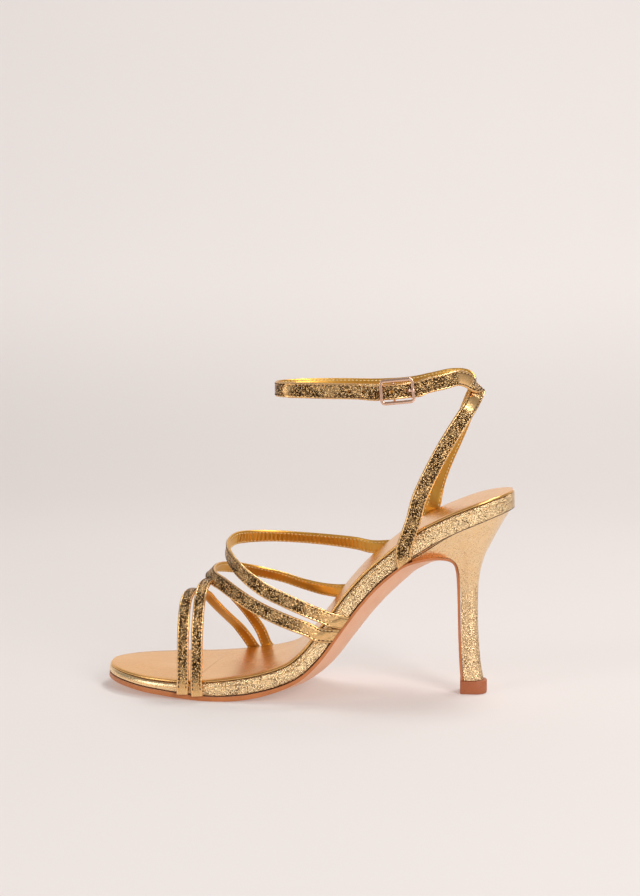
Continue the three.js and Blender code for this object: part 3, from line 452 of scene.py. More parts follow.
# %% [markdown]
# ## Sock, lining, sole and metal
# The sock under the foot and the linings are smooth gold skins without cracks. The sole is vegetable
# tanned leather: rust brown on its cut edge and pale peach below. Each finish changes a little over the
# surface, because a perfectly even one looks like plastic. The front and the back of the sock are two
# skins, and the edge of the one shows through the other as a fine ridge.

# %% Mix the smooth leathers
JOIN_AT, JOIN_SLANT, JOIN_WIDTH = -52.0, 0.17, 0.45


def smooth_gold(name, light, dark, roughness, grain=0.02, join=0.0):
    """join is the height of the ridge; it crosses the sole at JOIN_AT mm, at a slant."""
    skin = Finish(name, Metallic=1.0)
    patch = skin.cloud(16.0, 2.0)
    pores = skin.cloud(0.5, 2.0)
    x, y = [skin.node("ShaderNodeSeparateXYZ", {"Vector": skin.spot()}, out=axis) for axis in "XY"]
    away = skin.node("ShaderNodeMath", {0: x - JOIN_SLANT * y - JOIN_AT * MM}, operation="ABSOLUTE")
    ridge = skin.between(away, 0.0, JOIN_WIDTH * MM, 1.0, 0.0)
    return skin.feed(
        Base_Color=skin.blend(patch, light, dark),
        Roughness=roughness + 0.08 * patch + 0.05 * pores,
        Normal=skin.bump(pores * 0.5 + skin.cloud(5.0) * 1.5 + ridge * join, grain),
    )


sock_gold = smooth_gold("sock_gold", tone("#FFC982"), tone("#F3B86C"), 0.2, 0.03, 5.0)
lining_gold = smooth_gold("lining_gold", tone("#EBB85E"), tone("#C89238"), 0.28, 0.08)


def leather_finish(name, light, dark, roughness, pore=0.35):
    skin = Finish(name)
    patch = skin.cloud(9.0, 3.0)
    pores = skin.cells(pore, skin.warped(2.0, 0.8))
    scuff = skin.between(skin.cloud(2.4, 4.0, 0.7), 0.52, 0.72)
    return skin.feed(
        Base_Color=skin.blend(patch * 0.7 + scuff * 0.3, light, dark),
        Roughness=roughness + 0.12 * scuff,
        Normal=skin.bump(pores + scuff * 0.4, 0.03),
    )


edge_leather = leather_finish("edge_leather", tone("#D08048"), tone("#A45A2C"), 0.38)
under_leather = leather_finish("under_leather", tone("#F0BC98"), tone("#E2A47C"), 0.42)
# Painted shade: a dark brown for the footbed's turned-in lower face, drawing the shadow line of the gap at
# the sole.
seam_painted_shade = leather_finish("seam_painted_shade", tone("#4A2E14"), tone("#2A190A"), 0.6)
tip_rubber = leather_finish("tip_rubber", tone("#B4663E"), tone("#95502E"), 0.5, 0.6)
print("smooth skins:", sock_gold.name, lining_gold.name, edge_leather.name, under_leather.name)

# %% [markdown]
# ## Metal and thread
# The buckle is plated rose gold, a little rubbed where fingers pull the strap through, so its gloss is not
# the same all over. The thread is two yarns twisted together. A wave across each stitch gives the twist as a
# bump, and its darker bands are painted shade in the grooves between the yarns, where a modelled twist would
# cost thousands of faces for a stitch that is hardly a millimetre long.

# %% Mix the buckle metal and the threads


def metal_finish(name, light, dark):
    metal = Finish(name, Metallic=1.0)
    rubbed = metal.cloud(1.6, 4.0, 0.6)
    return metal.feed(
        Base_Color=metal.blend(rubbed, light, dark),
        Roughness=0.14 + 0.14 * rubbed,
        Normal=metal.bump(metal.cloud(0.25, 2.0), 0.008),
    )


TWIST_SCALE = 900.0


def thread_finish(name, light, dark):
    thread = Finish(name)
    wave = {"Vector": thread.spot(), "Scale": TWIST_SCALE, "Distortion": 1.5}
    # The wave is the twist: a bump, and in the colour its darker bands are painted shade between the yarns.
    twist_and_groove_shade = thread.node("ShaderNodeTexWave", wave)
    return thread.feed(
        Base_Color=thread.blend(twist_and_groove_shade, light, dark),
        Roughness=0.5 + 0.2 * twist_and_groove_shade,
        Normal=thread.bump(twist_and_groove_shade, 0.03),
    )


rose_gold = metal_finish("rose_gold", tone("#F6D2BC"), tone("#E2B294"))
# The thread on the foil is dark brown, partly as painted shade of the stitch holes it sits in.
brown_thread_and_hole_shade = thread_finish("brown_thread_and_hole_shade", tone("#5A3A1A"), tone("#2E1B0A"))
pale_thread = thread_finish("pale_thread", tone("#F8E2AC"), tone("#DEBB74"))
print("metal and threads:", rose_gold.name, brown_thread_and_hole_shade.name, pale_thread.name)

# %% [markdown]
# ## Handing a piece to the frame
# Each finished piece names the CAD part that it stands for, which is then hidden, and takes its finishes. The
# sandal doesn't move, so every piece rides on the one body, root.

# %% Hand a piece over


def hand_over(piece, slot, *parts, finishes=()):
    for finish in finishes:
        piece.data.materials.append(finish)
    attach(piece, "root")
    if parts:
        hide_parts(*parts)
    print(piece.name, "faces:", len(piece.data.polygons))


# %% [markdown]
# ## The footbed
# The footbed is a stiff insole board wrapped in foil leather. Its rounded corner ends at a fine groove, and
# below that the foil goes down to the sole, where its lower edge turns in. That turned-in face is painted
# dark brown as painted shade, the shadow line of the gap at the sole. It is smooth round the toe and crinkled
# from the ball back. One loft of close rings gives all of this, because every line of it follows the last's
# outline.

# %% Stations from toe to heel, closer together at the two round ends


def stations(count, low=0.0002, high=0.9998, crowd=0.55):
    shares = []
    for i in range(count + 1):
        t = i / count
        shares.append(lerp(low, high, lerp(t, (1 - math.cos(math.pi * t)) / 2, crowd)))
    return shares


# TURN_IN_SHADE_WIDTH is how far the footbed's lower edge turns in; that face is painted as shade.
SEAM_DEPTH, SEAM_WIDTH, TURN_IN_SHADE_WIDTH, SEAM_FADE = 0.26, 0.42, 0.45, 12
CORNER_TURNS = [0, 15, 30, 45, 60, 75, 90]
SIDE_STEPS, UNDER_REACH = 9, 0.94
UNDER_SHARES = [i / 10 for i in range(10, -11, -1)]


def footbed_side(cut):
    """Points of one side from the sole up to the top: depth and inset."""
    top = INSOLE_THICKNESS + CLEARANCE
    r = min(FOOTBED_CORNER, (cut.thick - top) / 2)
    tuck = min(CLEARANCE, 0.04 * cut.half[0])
    seam = top + r + SEAM_WIDTH
    fade = clamp(cut.half[0] / SEAM_FADE)
    rows = [(cut.thick, tuck + TURN_IN_SHADE_WIDTH * fade)]
    for i in range(SIDE_STEPS + 1):
        t = i / SIDE_STEPS
        rows.append((lerp(cut.thick - TURN_IN_SHADE_WIDTH, seam, t), tuck * (1 - t) ** 6))
    deep = SEAM_DEPTH * fade
    rows += [(seam - 0.3 * SEAM_WIDTH, deep), (seam - 0.7 * SEAM_WIDTH, deep)]
    for degrees in CORNER_TURNS:
        angle = math.radians(degrees)
        rows.append((top + r * (1 - math.sin(angle)), r * (1 - math.cos(angle))))
    return rows


def footbed_ring(cut):
    side = footbed_side(cut)
    top = INSOLE_THICKNESS + CLEARANCE
    ring = [cut.at(-1, depth, inset) for depth, inset in side]
    ring += [cut.at(share, top) for share in (-0.6, 0, 0.6)]
    ring += [cut.at(1, depth, inset) for depth, inset in reversed(side)]
    for share in UNDER_SHARES:
        ring.append(cut.at(share * UNDER_REACH, cut.thick + cut.keel * keel_shape(share * UNDER_REACH)))
    return ring


side_points = SIDE_STEPS + 4 + len(CORNER_TURNS)
# Slot 1, the turned-in lower face, takes the painted shade of the gap at the sole.
side_slots = [1] + [0] * (side_points - 2)
footbed_slots = side_slots + [0] * 4 + list(reversed(side_slots)) + [0] * (len(UNDER_SHARES) + 1)
SOLE_STATIONS = stations(330)
TOE_CRINKLE, CRINKLE_STARTS, CRINKLE_FULL = 0.12, 0.12, 0.3
footbed_crinkle = [
    lerp(TOE_CRINKLE, 1.0, smoothstep(along, CRINKLE_STARTS, CRINKLE_FULL)) for along in SOLE_STATIONS
]
footbed = loft(
    "foil_footbed",
    [footbed_ring(Cut(along)) for along in SOLE_STATIONS],
    footbed_slots,
    {"crinkle": footbed_crinkle},
)
smooth(footbed)
hand_over(footbed, "foil_leather", "footbed", finishes=(foil_edge, seam_painted_shade))

# %% [markdown]
# ## The sock
# The sock is a sheet of smooth gold leather over a thin foam. A flat sheet with a thickness would do from
# afar, but the real one is a little higher in the middle and its edge rolls down, so it catches the light
# as one long soft highlight. That is why it is lofted with a crown and three points to each edge.

# %% Loft the sock
SOCK_SHARES = [-1 + i / 9 for i in range(19)]
SOCK_ROLL, SOCK_CROWN, SOCK_CROWN_FADE = 0.55, 0.25, 20
# depth and inset of the rolled edge, from the footbed up
SOCK_EDGE = [
    (INSOLE_THICKNESS, INSOLE_MARGIN), (SOCK_ROLL, INSOLE_MARGIN - 0.1),
    (SOCK_ROLL * 0.35, INSOLE_MARGIN + 0.15),
]


def sock_ring(cut):
    ring = [cut.at(-1, depth, inset) for depth, inset in SOCK_EDGE]
    for share in SOCK_SHARES:
        crown = SOCK_CROWN * (1 - share * share) * clamp(min(cut.half) / SOCK_CROWN_FADE)
        ring.append(cut.at(share, -crown, INSOLE_MARGIN + 0.5))
    ring += [cut.at(1, depth, inset) for depth, inset in reversed(SOCK_EDGE)]
    ring += [cut.at(share, INSOLE_THICKNESS, INSOLE_MARGIN) for share in (0.5, 0, -0.5)]
    return ring


sock = loft("gold_sock", [sock_ring(Cut(along)) for along in stations(230, 0.0045, 0.9955, 0.75)])
smooth(sock, 50)
hand_over(sock, "insole_leather", "insole", finishes=(sock_gold,))

# %% [markdown]
# ## The outsole
# One strip of leather runs under the footbed, leaves it at the arch and goes down the front of the heel,
# which makers call the breast. Its edge is painted rust brown, and its underside is left pale. A bent sheet
# could follow the heel, but its width changes all the way down, so it is lofted along a drafting spline
# that starts with the last's own cuts and turns them as it goes down.

# %% A smooth curve through points, as a drafting spline would run


def spline(points):
    """Centripetal Catmull-Rom, which keeps close to its points and makes no loops."""

    def read(place):
        i = int(clamp(math.floor(place), 0, len(points) - 2))
        t = place - i
        p1, p2 = points[i], points[i + 1]
        p0 = points[i - 1] if i > 0 else p1 * 2 - p2
        p3 = points[i + 2] if i + 2 < len(points) else p2 * 2 - p1
        d0, d1, d2 = [max((b - a).length, 1e-6) ** 0.5 for a, b in ((p0, p1), (p1, p2), (p2, p3))]
        m1 = ((p1 - p0) / d0 - (p2 - p0) / (d0 + d1) + (p2 - p1) / d1) * d1
        m2 = ((p2 - p1) / d1 - (p3 - p1) / (d1 + d2) + (p3 - p2) / d2) * d1
        square, cube = t * t, t * t * t
        return (
            p1 * (2 * cube - 3 * square + 1) + m1 * (cube - 2 * square + t)
            + p2 * (3 * square - 2 * cube) + m2 * (cube - square)
        )

    return read


# %% Loft the outsole
OUTSOLE_LEAVES, KEEL_LAG = 0.694, 0.02
# along, up, half
BREAST_ROWS = [
    (0.7387, 0.6590, 1.00), (0.7732, 0.6810, 0.98), (0.8028, 0.6910, 0.93), (0.8274, 0.6870, 0.82),
    (0.8472, 0.6740, 0.66), (0.8600, 0.6480, 0.48), (0.8664, 0.6060, 0.34), (0.8693, 0.5400, 0.235),
    (0.8713, 0.4400, 0.195), (0.8738, 0.2700, 0.200), (0.8772, 0.1400, 0.215), (BREAST_END, 0.0700, 0.230),
]
HEEL_FOOT = HEEL_TIP_HEIGHT + CLEARANCE


def under_footbed(along):
    cut = Cut(along)
    cut.point = cut.point - cut.normal * (cut.thick + CLEARANCE)
    cut.on_heel = False
    return cut


def outsole_cuts(under_count, steps):
    cuts = [under_footbed(a) for a in stations(under_count, crowd=1.0) if a < OUTSOLE_LEAVES - 0.012]
    knots = [(OUTSOLE_LEAVES - d, 1.0, under_footbed(OUTSOLE_LEAVES - d).point) for d in (0.08, 0.04, 0.0)]
    for along, up, half in BREAST_ROWS:
        z = HEEL_FOOT if along == BREAST_END else up * SEAT_HEIGHT
        knots.append((along, half, Vector((along * SOLE_LENGTH, 0, z))))
    curve = spline([Vector((point.x, 0, point.z)) for _, _, point in knots])
    for i in range(2 * steps, (len(knots) - 1) * steps + 1):
        place = i / steps
        start = min(int(place), len(knots) - 2)
        along, half = [lerp(knots[start][key], knots[start + 1][key], place - start) for key in (0, 1)]
        cut = Cut(along)
        cut.keel = keel(along - KEEL_LAG * clamp(place - 2)) * KEEL_DEPTH
        tangent = (curve(place + 0.001) - curve(place - 0.001)).normalized()
        turned = min(1.0, (place - 2) / 2)
        point = curve(place)
        cut.point = Vector((point.x, cut.point.y, point.z))
        cut.normal = cut.normal.lerp(Vector((-tangent.z, 0, tangent.x)), turned).normalized()
        cut.half = (cut.full[0] * half, cut.full[1] * half)
        cut.on_heel = True
        cuts.append(cut)
    return cuts


EDGE_ROUND = 0.5
EDGE_TURNS = [(0.0, 1.0), (0.13, 0.5), (0.5, 0.13), (1.0, 0.0)]
SOLE_SHARES = [i / 12 for i in range(-12, 13)]


def outsole_ring(cut):
    upper = [cut.at(share, cut.keel * keel_shape(share)) for share in reversed(SOLE_SHARES)]
    lower = []
    for side in (-1, 1):
        turns = [cut.at(side, cut.sole - EDGE_ROUND * b, EDGE_ROUND * a) for a, b in EDGE_TURNS]
        if side < 0:
            lower += turns
            lower += [cut.at(s * 0.97, cut.keel * keel_shape(s * 0.97) + cut.sole) for s in SOLE_SHARES[1:-1]]
        else:
            lower += reversed(turns)
    lowest = HEEL_FOOT if cut.on_heel else 0.0
    for point in upper + lower:
        point.z = max(point.z, lowest)
    return upper + lower


edge_faces = len(EDGE_TURNS)
outsole_slots = [1] * (len(SOLE_SHARES) - 1) + [0] * edge_faces + [1] * (len(SOLE_SHARES) - 3)
outsole_slots += [0] * edge_faces + [1] * 9
outsole_cut_list = outsole_cuts(150, 8)
outsole_rings = [outsole_ring(cut) for cut in outsole_cut_list]
outsole = loft("leather_outsole", outsole_rings, outsole_slots[:len(outsole_rings[0])])
smooth(outsole, 35)
hand_over(outsole, "outsole_leather", "outsole", finishes=(edge_leather, under_leather))

# %% [markdown]
# ## The heel
# The heel is a hard plastic block covered in the same skin, pulled tight, so it is almost smooth. A stack
# of level D-shaped rings gives the block, and two cutters then open its front for the sole's strip and its
# top for the footbed, exactly as the wooden model of a heel is shaped. The skin is tightest near the seat,
# so the crinkle fades from the foot of the heel up.

# %% Make the heel block and cut it
HEEL_SEAT_WIDTH = 50.0
# up, back, half width at the breast, half width where the back starts to turn, round
HEEL_ROWS = [
    (0.069, 0.9300, 0.235, 0.235, 0.12), (0.160, 0.9221, 0.215, 0.215, 0.11),
    (0.260, 0.9177, 0.198, 0.198, 0.10), (0.360, 0.9152, 0.190, 0.190, 0.10),
    (0.450, 0.9147, 0.195, 0.192, 0.10), (0.530, 0.9157, 0.260, 0.225, 0.12),
    (0.590, 0.9191, 0.550, 0.300, 0.15), (0.640, 0.9251, 0.880, 0.420, 0.20),
    (0.685, 0.9329, 0.980, 0.560, 0.26), (0.730, 0.9443, 1.000, 0.700, 0.33),
    (0.790, 0.9596, 1.000, 0.840, 0.40), (0.850, 0.9763, 1.000, 0.930, 0.45),
    (0.910, 0.9941, 1.000, 0.985, 0.47), (1.000, 1.0079, 1.000, 1.000, 0.48),
]
heel_back, heel_breast, heel_half, heel_round = [column(HEEL_ROWS, key) for key in (1, 2, 3, 4)]
RING_TURNS = [0, 8, 16, 24, 32, 40, 48, 56, 64, 72, 80, 86]


def level_ring(z, front, back, front_half, half, turn):
    ring = []
    for side in (-1, 1):
        arc = [Vector((front, HEEL_CENTRE + side * front_half, z))]
        for degrees in RING_TURNS:
            angle = math.radians(degrees)
            x = back - turn + turn * math.sin(angle)
            arc.append(Vector((x, HEEL_CENTRE + side * half * math.cos(angle), z)))
        ring += arc if side < 0 else reversed(arc)
    return ring


def spread(cut, share, depth):
    half = cut.half[0] if share < 0 else cut.half[1]
    extra = max(0.0, abs(share) - 1) * HEEL_SEAT_WIDTH
    y = cut.point.y + math.copysign(min(1.0, abs(share)) * half + extra, share)
    return Vector((cut.point.x, y, cut.point.z)) - cut.normal * depth


def cutter(name, cuts, near, far):
    shares = [-1.5] + SOLE_SHARES + [1.5]
    rings = []
    for cut in cuts:
        ring = [spread(cut, share, near(cut, share)) for share in reversed(shares)]
        rings.append(ring + [spread(cut, share, far(cut, share)) for share in shares])
    return loft(name, rings)


HEEL_FRONT = (OUTSOLE_LEAVES + 0.063) * SOLE_LENGTH
HEEL_LEVELS, SLACK_BELOW, TIGHT_ABOVE, TIGHT_CRINKLE = 70, 15, 85, 0.25
block_rings = []
for i in range(HEEL_LEVELS + 1):
    z = lerp(HEEL_FOOT, SEAT_HEIGHT, i / HEEL_LEVELS)
    up = z / SEAT_HEIGHT
    breast_half, half = [width(up) * HEEL_SEAT_WIDTH / 2 for width in (heel_breast, heel_half)]
    turn = heel_round(up) * HEEL_SEAT_WIDTH
    block_rings.append(level_ring(z, HEEL_FRONT, heel_back(up) * SOLE_LENGTH, breast_half, half, turn))
heel = loft("foil_heel_block", block_rings)

AIR_DEPTH, EDGE_ALLOWANCE = 2.4, 0.8
breast_cuts = [cut for cut in outsole_cuts(60, 5) if cut.point.x > HEEL_FRONT - 1.4 * HEEL_TIP_LENGTH]
outline = [cut.point - cut.normal * (cut.keel + EDGE_ALLOWANCE) for cut in breast_cuts]
side_view = [(outline[0].x, 2 * SEAT_HEIGHT)] + [(p.x, p.z) for p in outline]
side_view += [(outline[-1].x, 0.0), (2 * SOLE_LENGTH, 0.0), (2 * SOLE_LENGTH, 2 * SEAT_HEIGHT)]
slab = loft("slab", [[Vector((x, y, z)) for x, z in side_view] for y in (-HEEL_SEAT_WIDTH, HEEL_SEAT_WIDTH)])
cut_away(heel, slab, "INTERSECT")

foot_cut = outsole_cuts(60, 5)[-1]
foot_cut.point = Vector((foot_cut.point.x, foot_cut.point.y, 0.0))
air = cutter(
    "air", breast_cuts + [foot_cut],
    lambda cut, share: cut.keel * keel_shape(share) - CLEARANCE,
    lambda cut, share: cut.keel * (1 + keel_shape(share)) + AIR_DEPTH,
)
cut_away(heel, air)

lid_cuts = [Cut(along) for along in stations(90) if along > OUTSOLE_LEAVES - 0.14]
for cut in lid_cuts:
    cut.half = cut.full
lid_end = Cut(0.9998)
lid_end.half, lid_end.point = lid_end.full, lid_end.point + Vector((HEEL_TIP_LENGTH, 0, 0))
lid = cutter(
    "lid", lid_cuts + [lid_end],
    lambda cut, share: cut.thick + cut.keel * keel_shape(share) + CLEARANCE,
    lambda cut, share: -SEAT_HEIGHT / 2,
)
cut_away(heel, lid)
add_numbers(heel.data, "crinkle", [
    lerp(1.0, TIGHT_CRINKLE, smoothstep(v.co.z / MM, SLACK_BELOW, TIGHT_ABOVE)) for v in heel.data.vertices
])
smooth(heel, 35)
hand_over(heel, "foil_leather", "heel", finishes=(foil_heel,))

# %% [markdown]
# ## The heel tip
# The tip, or top lift, is a small block of hard rubber that can be replaced. It could be a cube with two
# bevelled corners, but the heel above it has a D-shaped foot, so the tip starts as a prism of that shape,
# and a bevel takes the sharpness off its edges, as use does.

# %% Make the heel tip
TIP_BEVEL = 0.35


def bevel_edges(piece, width, segments, sharper_than):
    """Rounds the edges that turn by more than so many degrees."""
    apply_modifier(
        piece, "BEVEL", width=width * MM, segments=segments,
        limit_method="ANGLE", angle_limit=math.radians(sharper_than),
    )


tip_rings = []
for share, size in ((0.0, 0.97), (0.12, 1.0), (1.0, 1.0)):
    start = TIP_FRONT + HEEL_TIP_LENGTH * (1 - size) / 2
    back = TIP_FRONT + HEEL_TIP_LENGTH * (1 + size) / 2
    half = HEEL_TIP_WIDTH / 2 * size
    tip_rings.append(level_ring(share * HEEL_TIP_HEIGHT, start, back, half, half, HEEL_TIP_WIDTH * 0.45))
heel_tip = loft("rubber_heel_tip", tip_rings)
bevel_edges(heel_tip, TIP_BEVEL, 2, 40)
smooth(heel_tip, 35)
hand_over(heel_tip, "heel_tip", "heel_tip", finishes=(tip_rubber,))

# %% [markdown]
# ## Straps
# Every strap is a folded band: foil outside, smooth lining inside, its long edges turned in and stitched
# close to the fold. The band is swept along a drafting spline, and its cross-section has the rolled
# edge, the groove where the stitches pull the skin down and a soft crown between them.

# %% The cross-section of a band
STRAP_THICKNESS = 1.6
EDGE_ROLL, STITCH_MARGIN, STITCH_GROOVE, CROWN = 0.6, 1.1, 0.12, 0.12


def band_profile(width, thickness):
    """Points round the section: place across, height, share of crinkle."""
    w, t = width / 2, thickness / 2
    half = [(-w, 0.0, 0.15)]
    for degrees in (35, 65):
        angle = math.radians(degrees)
        half.append((-w + EDGE_ROLL * (1 - math.cos(angle)), t * math.sin(angle), 0.15))
    half += [
        (-w + EDGE_ROLL, t, 0.25),
        (-w + STITCH_MARGIN - 0.22, t + 0.01, 0.1),
        (-w + STITCH_MARGIN, t - STITCH_GROOVE, 0.2),
        (-w + STITCH_MARGIN + 0.25, t + 0.02, 0.9),
        (-0.52 * w, t + 0.6 * CROWN, 1.0),
        (-0.38 * w, t + 0.8 * CROWN, 1.0),
        (-0.25 * w, t + 0.92 * CROWN, 1.0),
        (-0.12 * w, t + 0.98 * CROWN, 1.0),
    ]
    outer = half + [(0.0, t + CROWN, 1.0)] + [(-a, b, c) for a, b, c in reversed(half)]
    inner = []
    for degrees in (-35, -65):
        angle = math.radians(degrees)
        inner.append((w - EDGE_ROLL * (1 - math.cos(angle)), t * math.sin(angle), 0.0))
    inner += [
        (w - EDGE_ROLL, -t, 0.0), (w - STITCH_MARGIN + 0.2, -t, 0.0),
        (w - STITCH_MARGIN, -t + 0.07, 0.0), (w - STITCH_MARGIN - 0.25, -t, 0.0), (w * 0.35, -t - 0.03, 0.0),
    ]
    inner += [(-a, b, c) for a, b, c in reversed(inner)]
    return outer, inner


print("points round a toe strap:", sum(len(side) for side in band_profile(6.2, STRAP_THICKNESS)))

# %% [markdown]
# ## The route of a band
# Blender could sweep a curve with a bevel, but it would decide by itself how the band turns. A strap's
# stiff width has to face a known way, so the stations are worked out here: even steps along the spline,
# each with the direction along the strap, across it and out of it.

# %% The route of a band


class Station:
    def __init__(self, point, across, out, along):
        self.point, self.across, self.out, self.along = point, across, out, along
        self.slim, self.scale = 1.0, 1.0


def route(points, guide, step=0.6, fine=30):
    """Even stations along a spline. guide gives the direction of the width at a place between points."""
    read = spline(points)
    count = (len(points) - 1) * fine
    places = [i / fine for i in range(count + 1)]
    dense = [read(place) for place in places]
    reach = [0.0]
    for a, b in zip(dense, dense[1:]):
        reach.append(reach[-1] + (b - a).length)
    made, i = [], 0
    total = int(reach[-1] / step)
    for n in range(total + 1):
        wanted = reach[-1] * n / total
        while i < count - 1 and reach[i + 1] < wanted:
            i += 1
        share = (wanted - reach[i]) / (reach[i + 1] - reach[i])
        place = places[i] + share / fine
        delta = 0.01
        tangent = (read(min(place + delta, len(points) - 1)) - read(max(place - delta, 0))).normalized()
        width = guide(place, tangent)
        across = (width - tangent * width.dot(tangent)).normalized()
        made.append(Station(read(place), across, across.cross(tangent), wanted))
    marks = [reach[k * fine] for k in range(len(points))]
    return made, marks


print("a route has a station every 0.5 or 0.6 mm, and a mark at each row of its table")

# %% [markdown]
# ## Sweeping a band
# The band carries its creases as soft troughs in its own shape, because a crease has to catch the light from
# every side. Each one is listed, in millimetres along and across the strap, near the bends and feet
# where the real straps fold. On the inner side the lining of one strap is gathered in fine pleats.

# %% Sweep a band, with its listed creases
PLEAT_PITCH, PLEAT_DEPTH, PLEAT_FADE = 2.4, 0.22, 0.04


def sweep_band(name, path, width, crinkle, creases=(), facing=1, thickness=STRAP_THICKNESS, pleats=None):
    """creases are soft troughs: along, across, turn in degrees, half length, half width, depth, in mm.
    pleats are two shares of the length; between them the lining is gathered in fine folds."""
    outer, inner = band_profile(width, thickness)
    profile = outer + inner
    rings, strength = [], []
    for station in path:
        ring = []
        gather = 0.0
        if pleats:
            share_along = station.along / path[-1].along
            inside = min(share_along - pleats[0], pleats[1] - share_along)
            wave = math.sin(2 * math.pi * station.along / PLEAT_PITCH)
            gather = PLEAT_DEPTH * wave * smoothstep(inside, 0.0, PLEAT_FADE)
        for j, (a, b, share) in enumerate(profile):
            sink = gather if j >= len(outer) and abs(a) < width / 2 - STITCH_MARGIN else 0.0
            if j < len(outer):
                for along, across, turn, long, wide, deep in creases:
                    v, u = station.along - along, a - across
                    if abs(v) > 3 * (long + wide):
                        continue
                    angle = math.radians(turn)
                    down = v * math.cos(angle) + u * math.sin(angle)
                    beside = u * math.cos(angle) - v * math.sin(angle)
                    sink += deep * math.exp(-(down / wide) ** 2 - (beside / long) ** 2)
            ring.append(
                station.point + station.across * (a * station.scale)
                + station.out * (facing * (b * station.slim - sink))
            )
            strength.append(share * crinkle(station.along))
        rings.append(ring)
    slots = [0] * (len(outer) - 1) + [1] * (len(inner) + 1)
    piece = loft(name, rings, slots)
    add_numbers(piece.data, "crinkle", strength)
    return piece


TRIM_REACH = 16.0


def trim_foot(piece, cut):
    """Cuts off what a foot has below the footbed's lower edge, as a maker trims it along the sole."""
    height = cut.point - cut.normal * cut.thick
    middle = placed(cut.point)
    make_active(piece)
    mesh = piece.data
    for elements in (mesh.vertices, mesh.edges, mesh.polygons):
        elements.foreach_set("select", [False] * len(elements))
    for polygon in mesh.polygons:
        away = polygon.center - middle
        polygon.select = max(abs(away.x), abs(away.z)) < TRIM_REACH * MM
    bpy.ops.object.mode_set(mode="EDIT")
    bpy.ops.mesh.select_mode(type="FACE")
    bpy.ops.mesh.bisect(plane_co=placed(height), plane_no=cut.normal, use_fill=True, clear_inner=True)
    bpy.ops.mesh.select_all(action="DESELECT")
    bpy.ops.object.mode_set(mode="OBJECT")


print("pleats of", PLEAT_PITCH, "mm; feet are trimmed within", TRIM_REACH, "mm of the sole")

# %% [markdown]
# ## Stitches
# Each stitch is a short length of thread with its ends pulled into the leather. A painted line of dashes
# would vanish at a low angle, so one stitch is modelled from a small sphere, and a copy of its mesh is laid
# at each place along both edges: dark brown thread shows on the foil, a colour that is partly painted shade
# of the stitch holes, and paler thread on the lining.

# %% Model one stitch and lay copies of it
STITCH_PITCH, STITCH_LENGTH, THREAD_SIZE = 2.1, 1.35, 0.6
STITCH_START, STITCH_OFF_SOLE = 6.0, 1.0

deselect_all()
bpy.ops.mesh.primitive_uv_sphere_add(segments=6, ring_count=5, radius=0.5)
stitch = bpy.context.active_object
stitch.name = "stitch"
bpy.ops.object.mode_set(mode="EDIT")
bpy.ops.mesh.select_all(action="SELECT")
bpy.ops.transform.rotate(value=math.pi / 2, orient_axis="Y", center_override=(0, 0, 0))
bpy.ops.object.mode_set(mode="OBJECT")
STITCH_POINTS = [v.co.copy() for v in stitch.data.vertices]
STITCH_FACES = [tuple(polygon.vertices) for polygon in stitch.data.polygons]
bpy.data.objects.remove(stitch)


def lay_stitches(name, path, width, planes, facing=1):
    """planes are the cuts where the strap is trimmed; no stitch comes near them."""
    points, faces, slots = [], [], []
    side = width / 2 - STITCH_MARGIN
    count = int((path[-1].along - STITCH_START - STITCH_START) / STITCH_PITCH)
    index = 0
    for n in range(count + 1):
        wanted = STITCH_START + n * STITCH_PITCH
        while index < len(path) - 2 and path[index + 1].along < wanted:
            index += 1
        a, b = path[index], path[index + 1]
        share = clamp((wanted - a.along) / (b.along - a.along))
        centre = a.point.lerp(b.point, share)
        above = [(centre - cut.point + cut.normal * cut.thick).dot(cut.normal) for cut in planes]
        if min(above) < STITCH_OFF_SOLE:
            continue
        along = (b.point - a.point).normalized()
        across, out = a.across, a.out * facing
        for edge in (-1, 1):
            for face in (1, -1):
                base = len(points)
                rest = STRAP_THICKNESS / 2 * a.slim
                middle = centre + across * (edge * side * a.scale) + out * (face * rest)
                for p in STITCH_POINTS:
                    points.append(
                        middle + along * (p.x * STITCH_LENGTH) + across * (p.y * THREAD_SIZE)
                        + out * (face * p.z * THREAD_SIZE)
                    )
                faces += [tuple(base + i for i in polygon) for polygon in STITCH_FACES]
                # Slot 0, outside on the foil, takes the dark thread that is partly painted shade of its
                # holes.
                slots += [0 if face > 0 else 1] * len(STITCH_FACES)
    piece = add_mesh(name, points, faces, slots)
    face_outward(piece)
    smooth(piece, 80)
    hand_over(piece, "foil_leather", finishes=(brown_thread_and_hole_shade, pale_thread))


print("faces in one stitch:", len(STITCH_FACES))


# %% [markdown]
# ## Where the straps run
# A row of a strap's table gives a place on or over the footbed. Over the foot, lift is a share of the
# strap's own arch. At a foot of a strap, the same column, marked by foot, is a share of the footbed's
# thickness below its top.

# %% Strap tables
FRONT_TOE_ARCH, REAR_TOE_ARCH, LOWER_INSTEP_ARCH, UPPER_INSTEP_ARCH = 44.0, 49.0, 50.0, 64.0
TOE_STRAP_WIDTH, INSTEP_STRAP_WIDTH, ANKLE_STRAP_WIDTH = 6.2, 7.4, 8.0
WALL_STAND_OFF = 1.5 * CLEARANCE + STRAP_THICKNESS / 2
FOOT, OVER = "foot", "over"

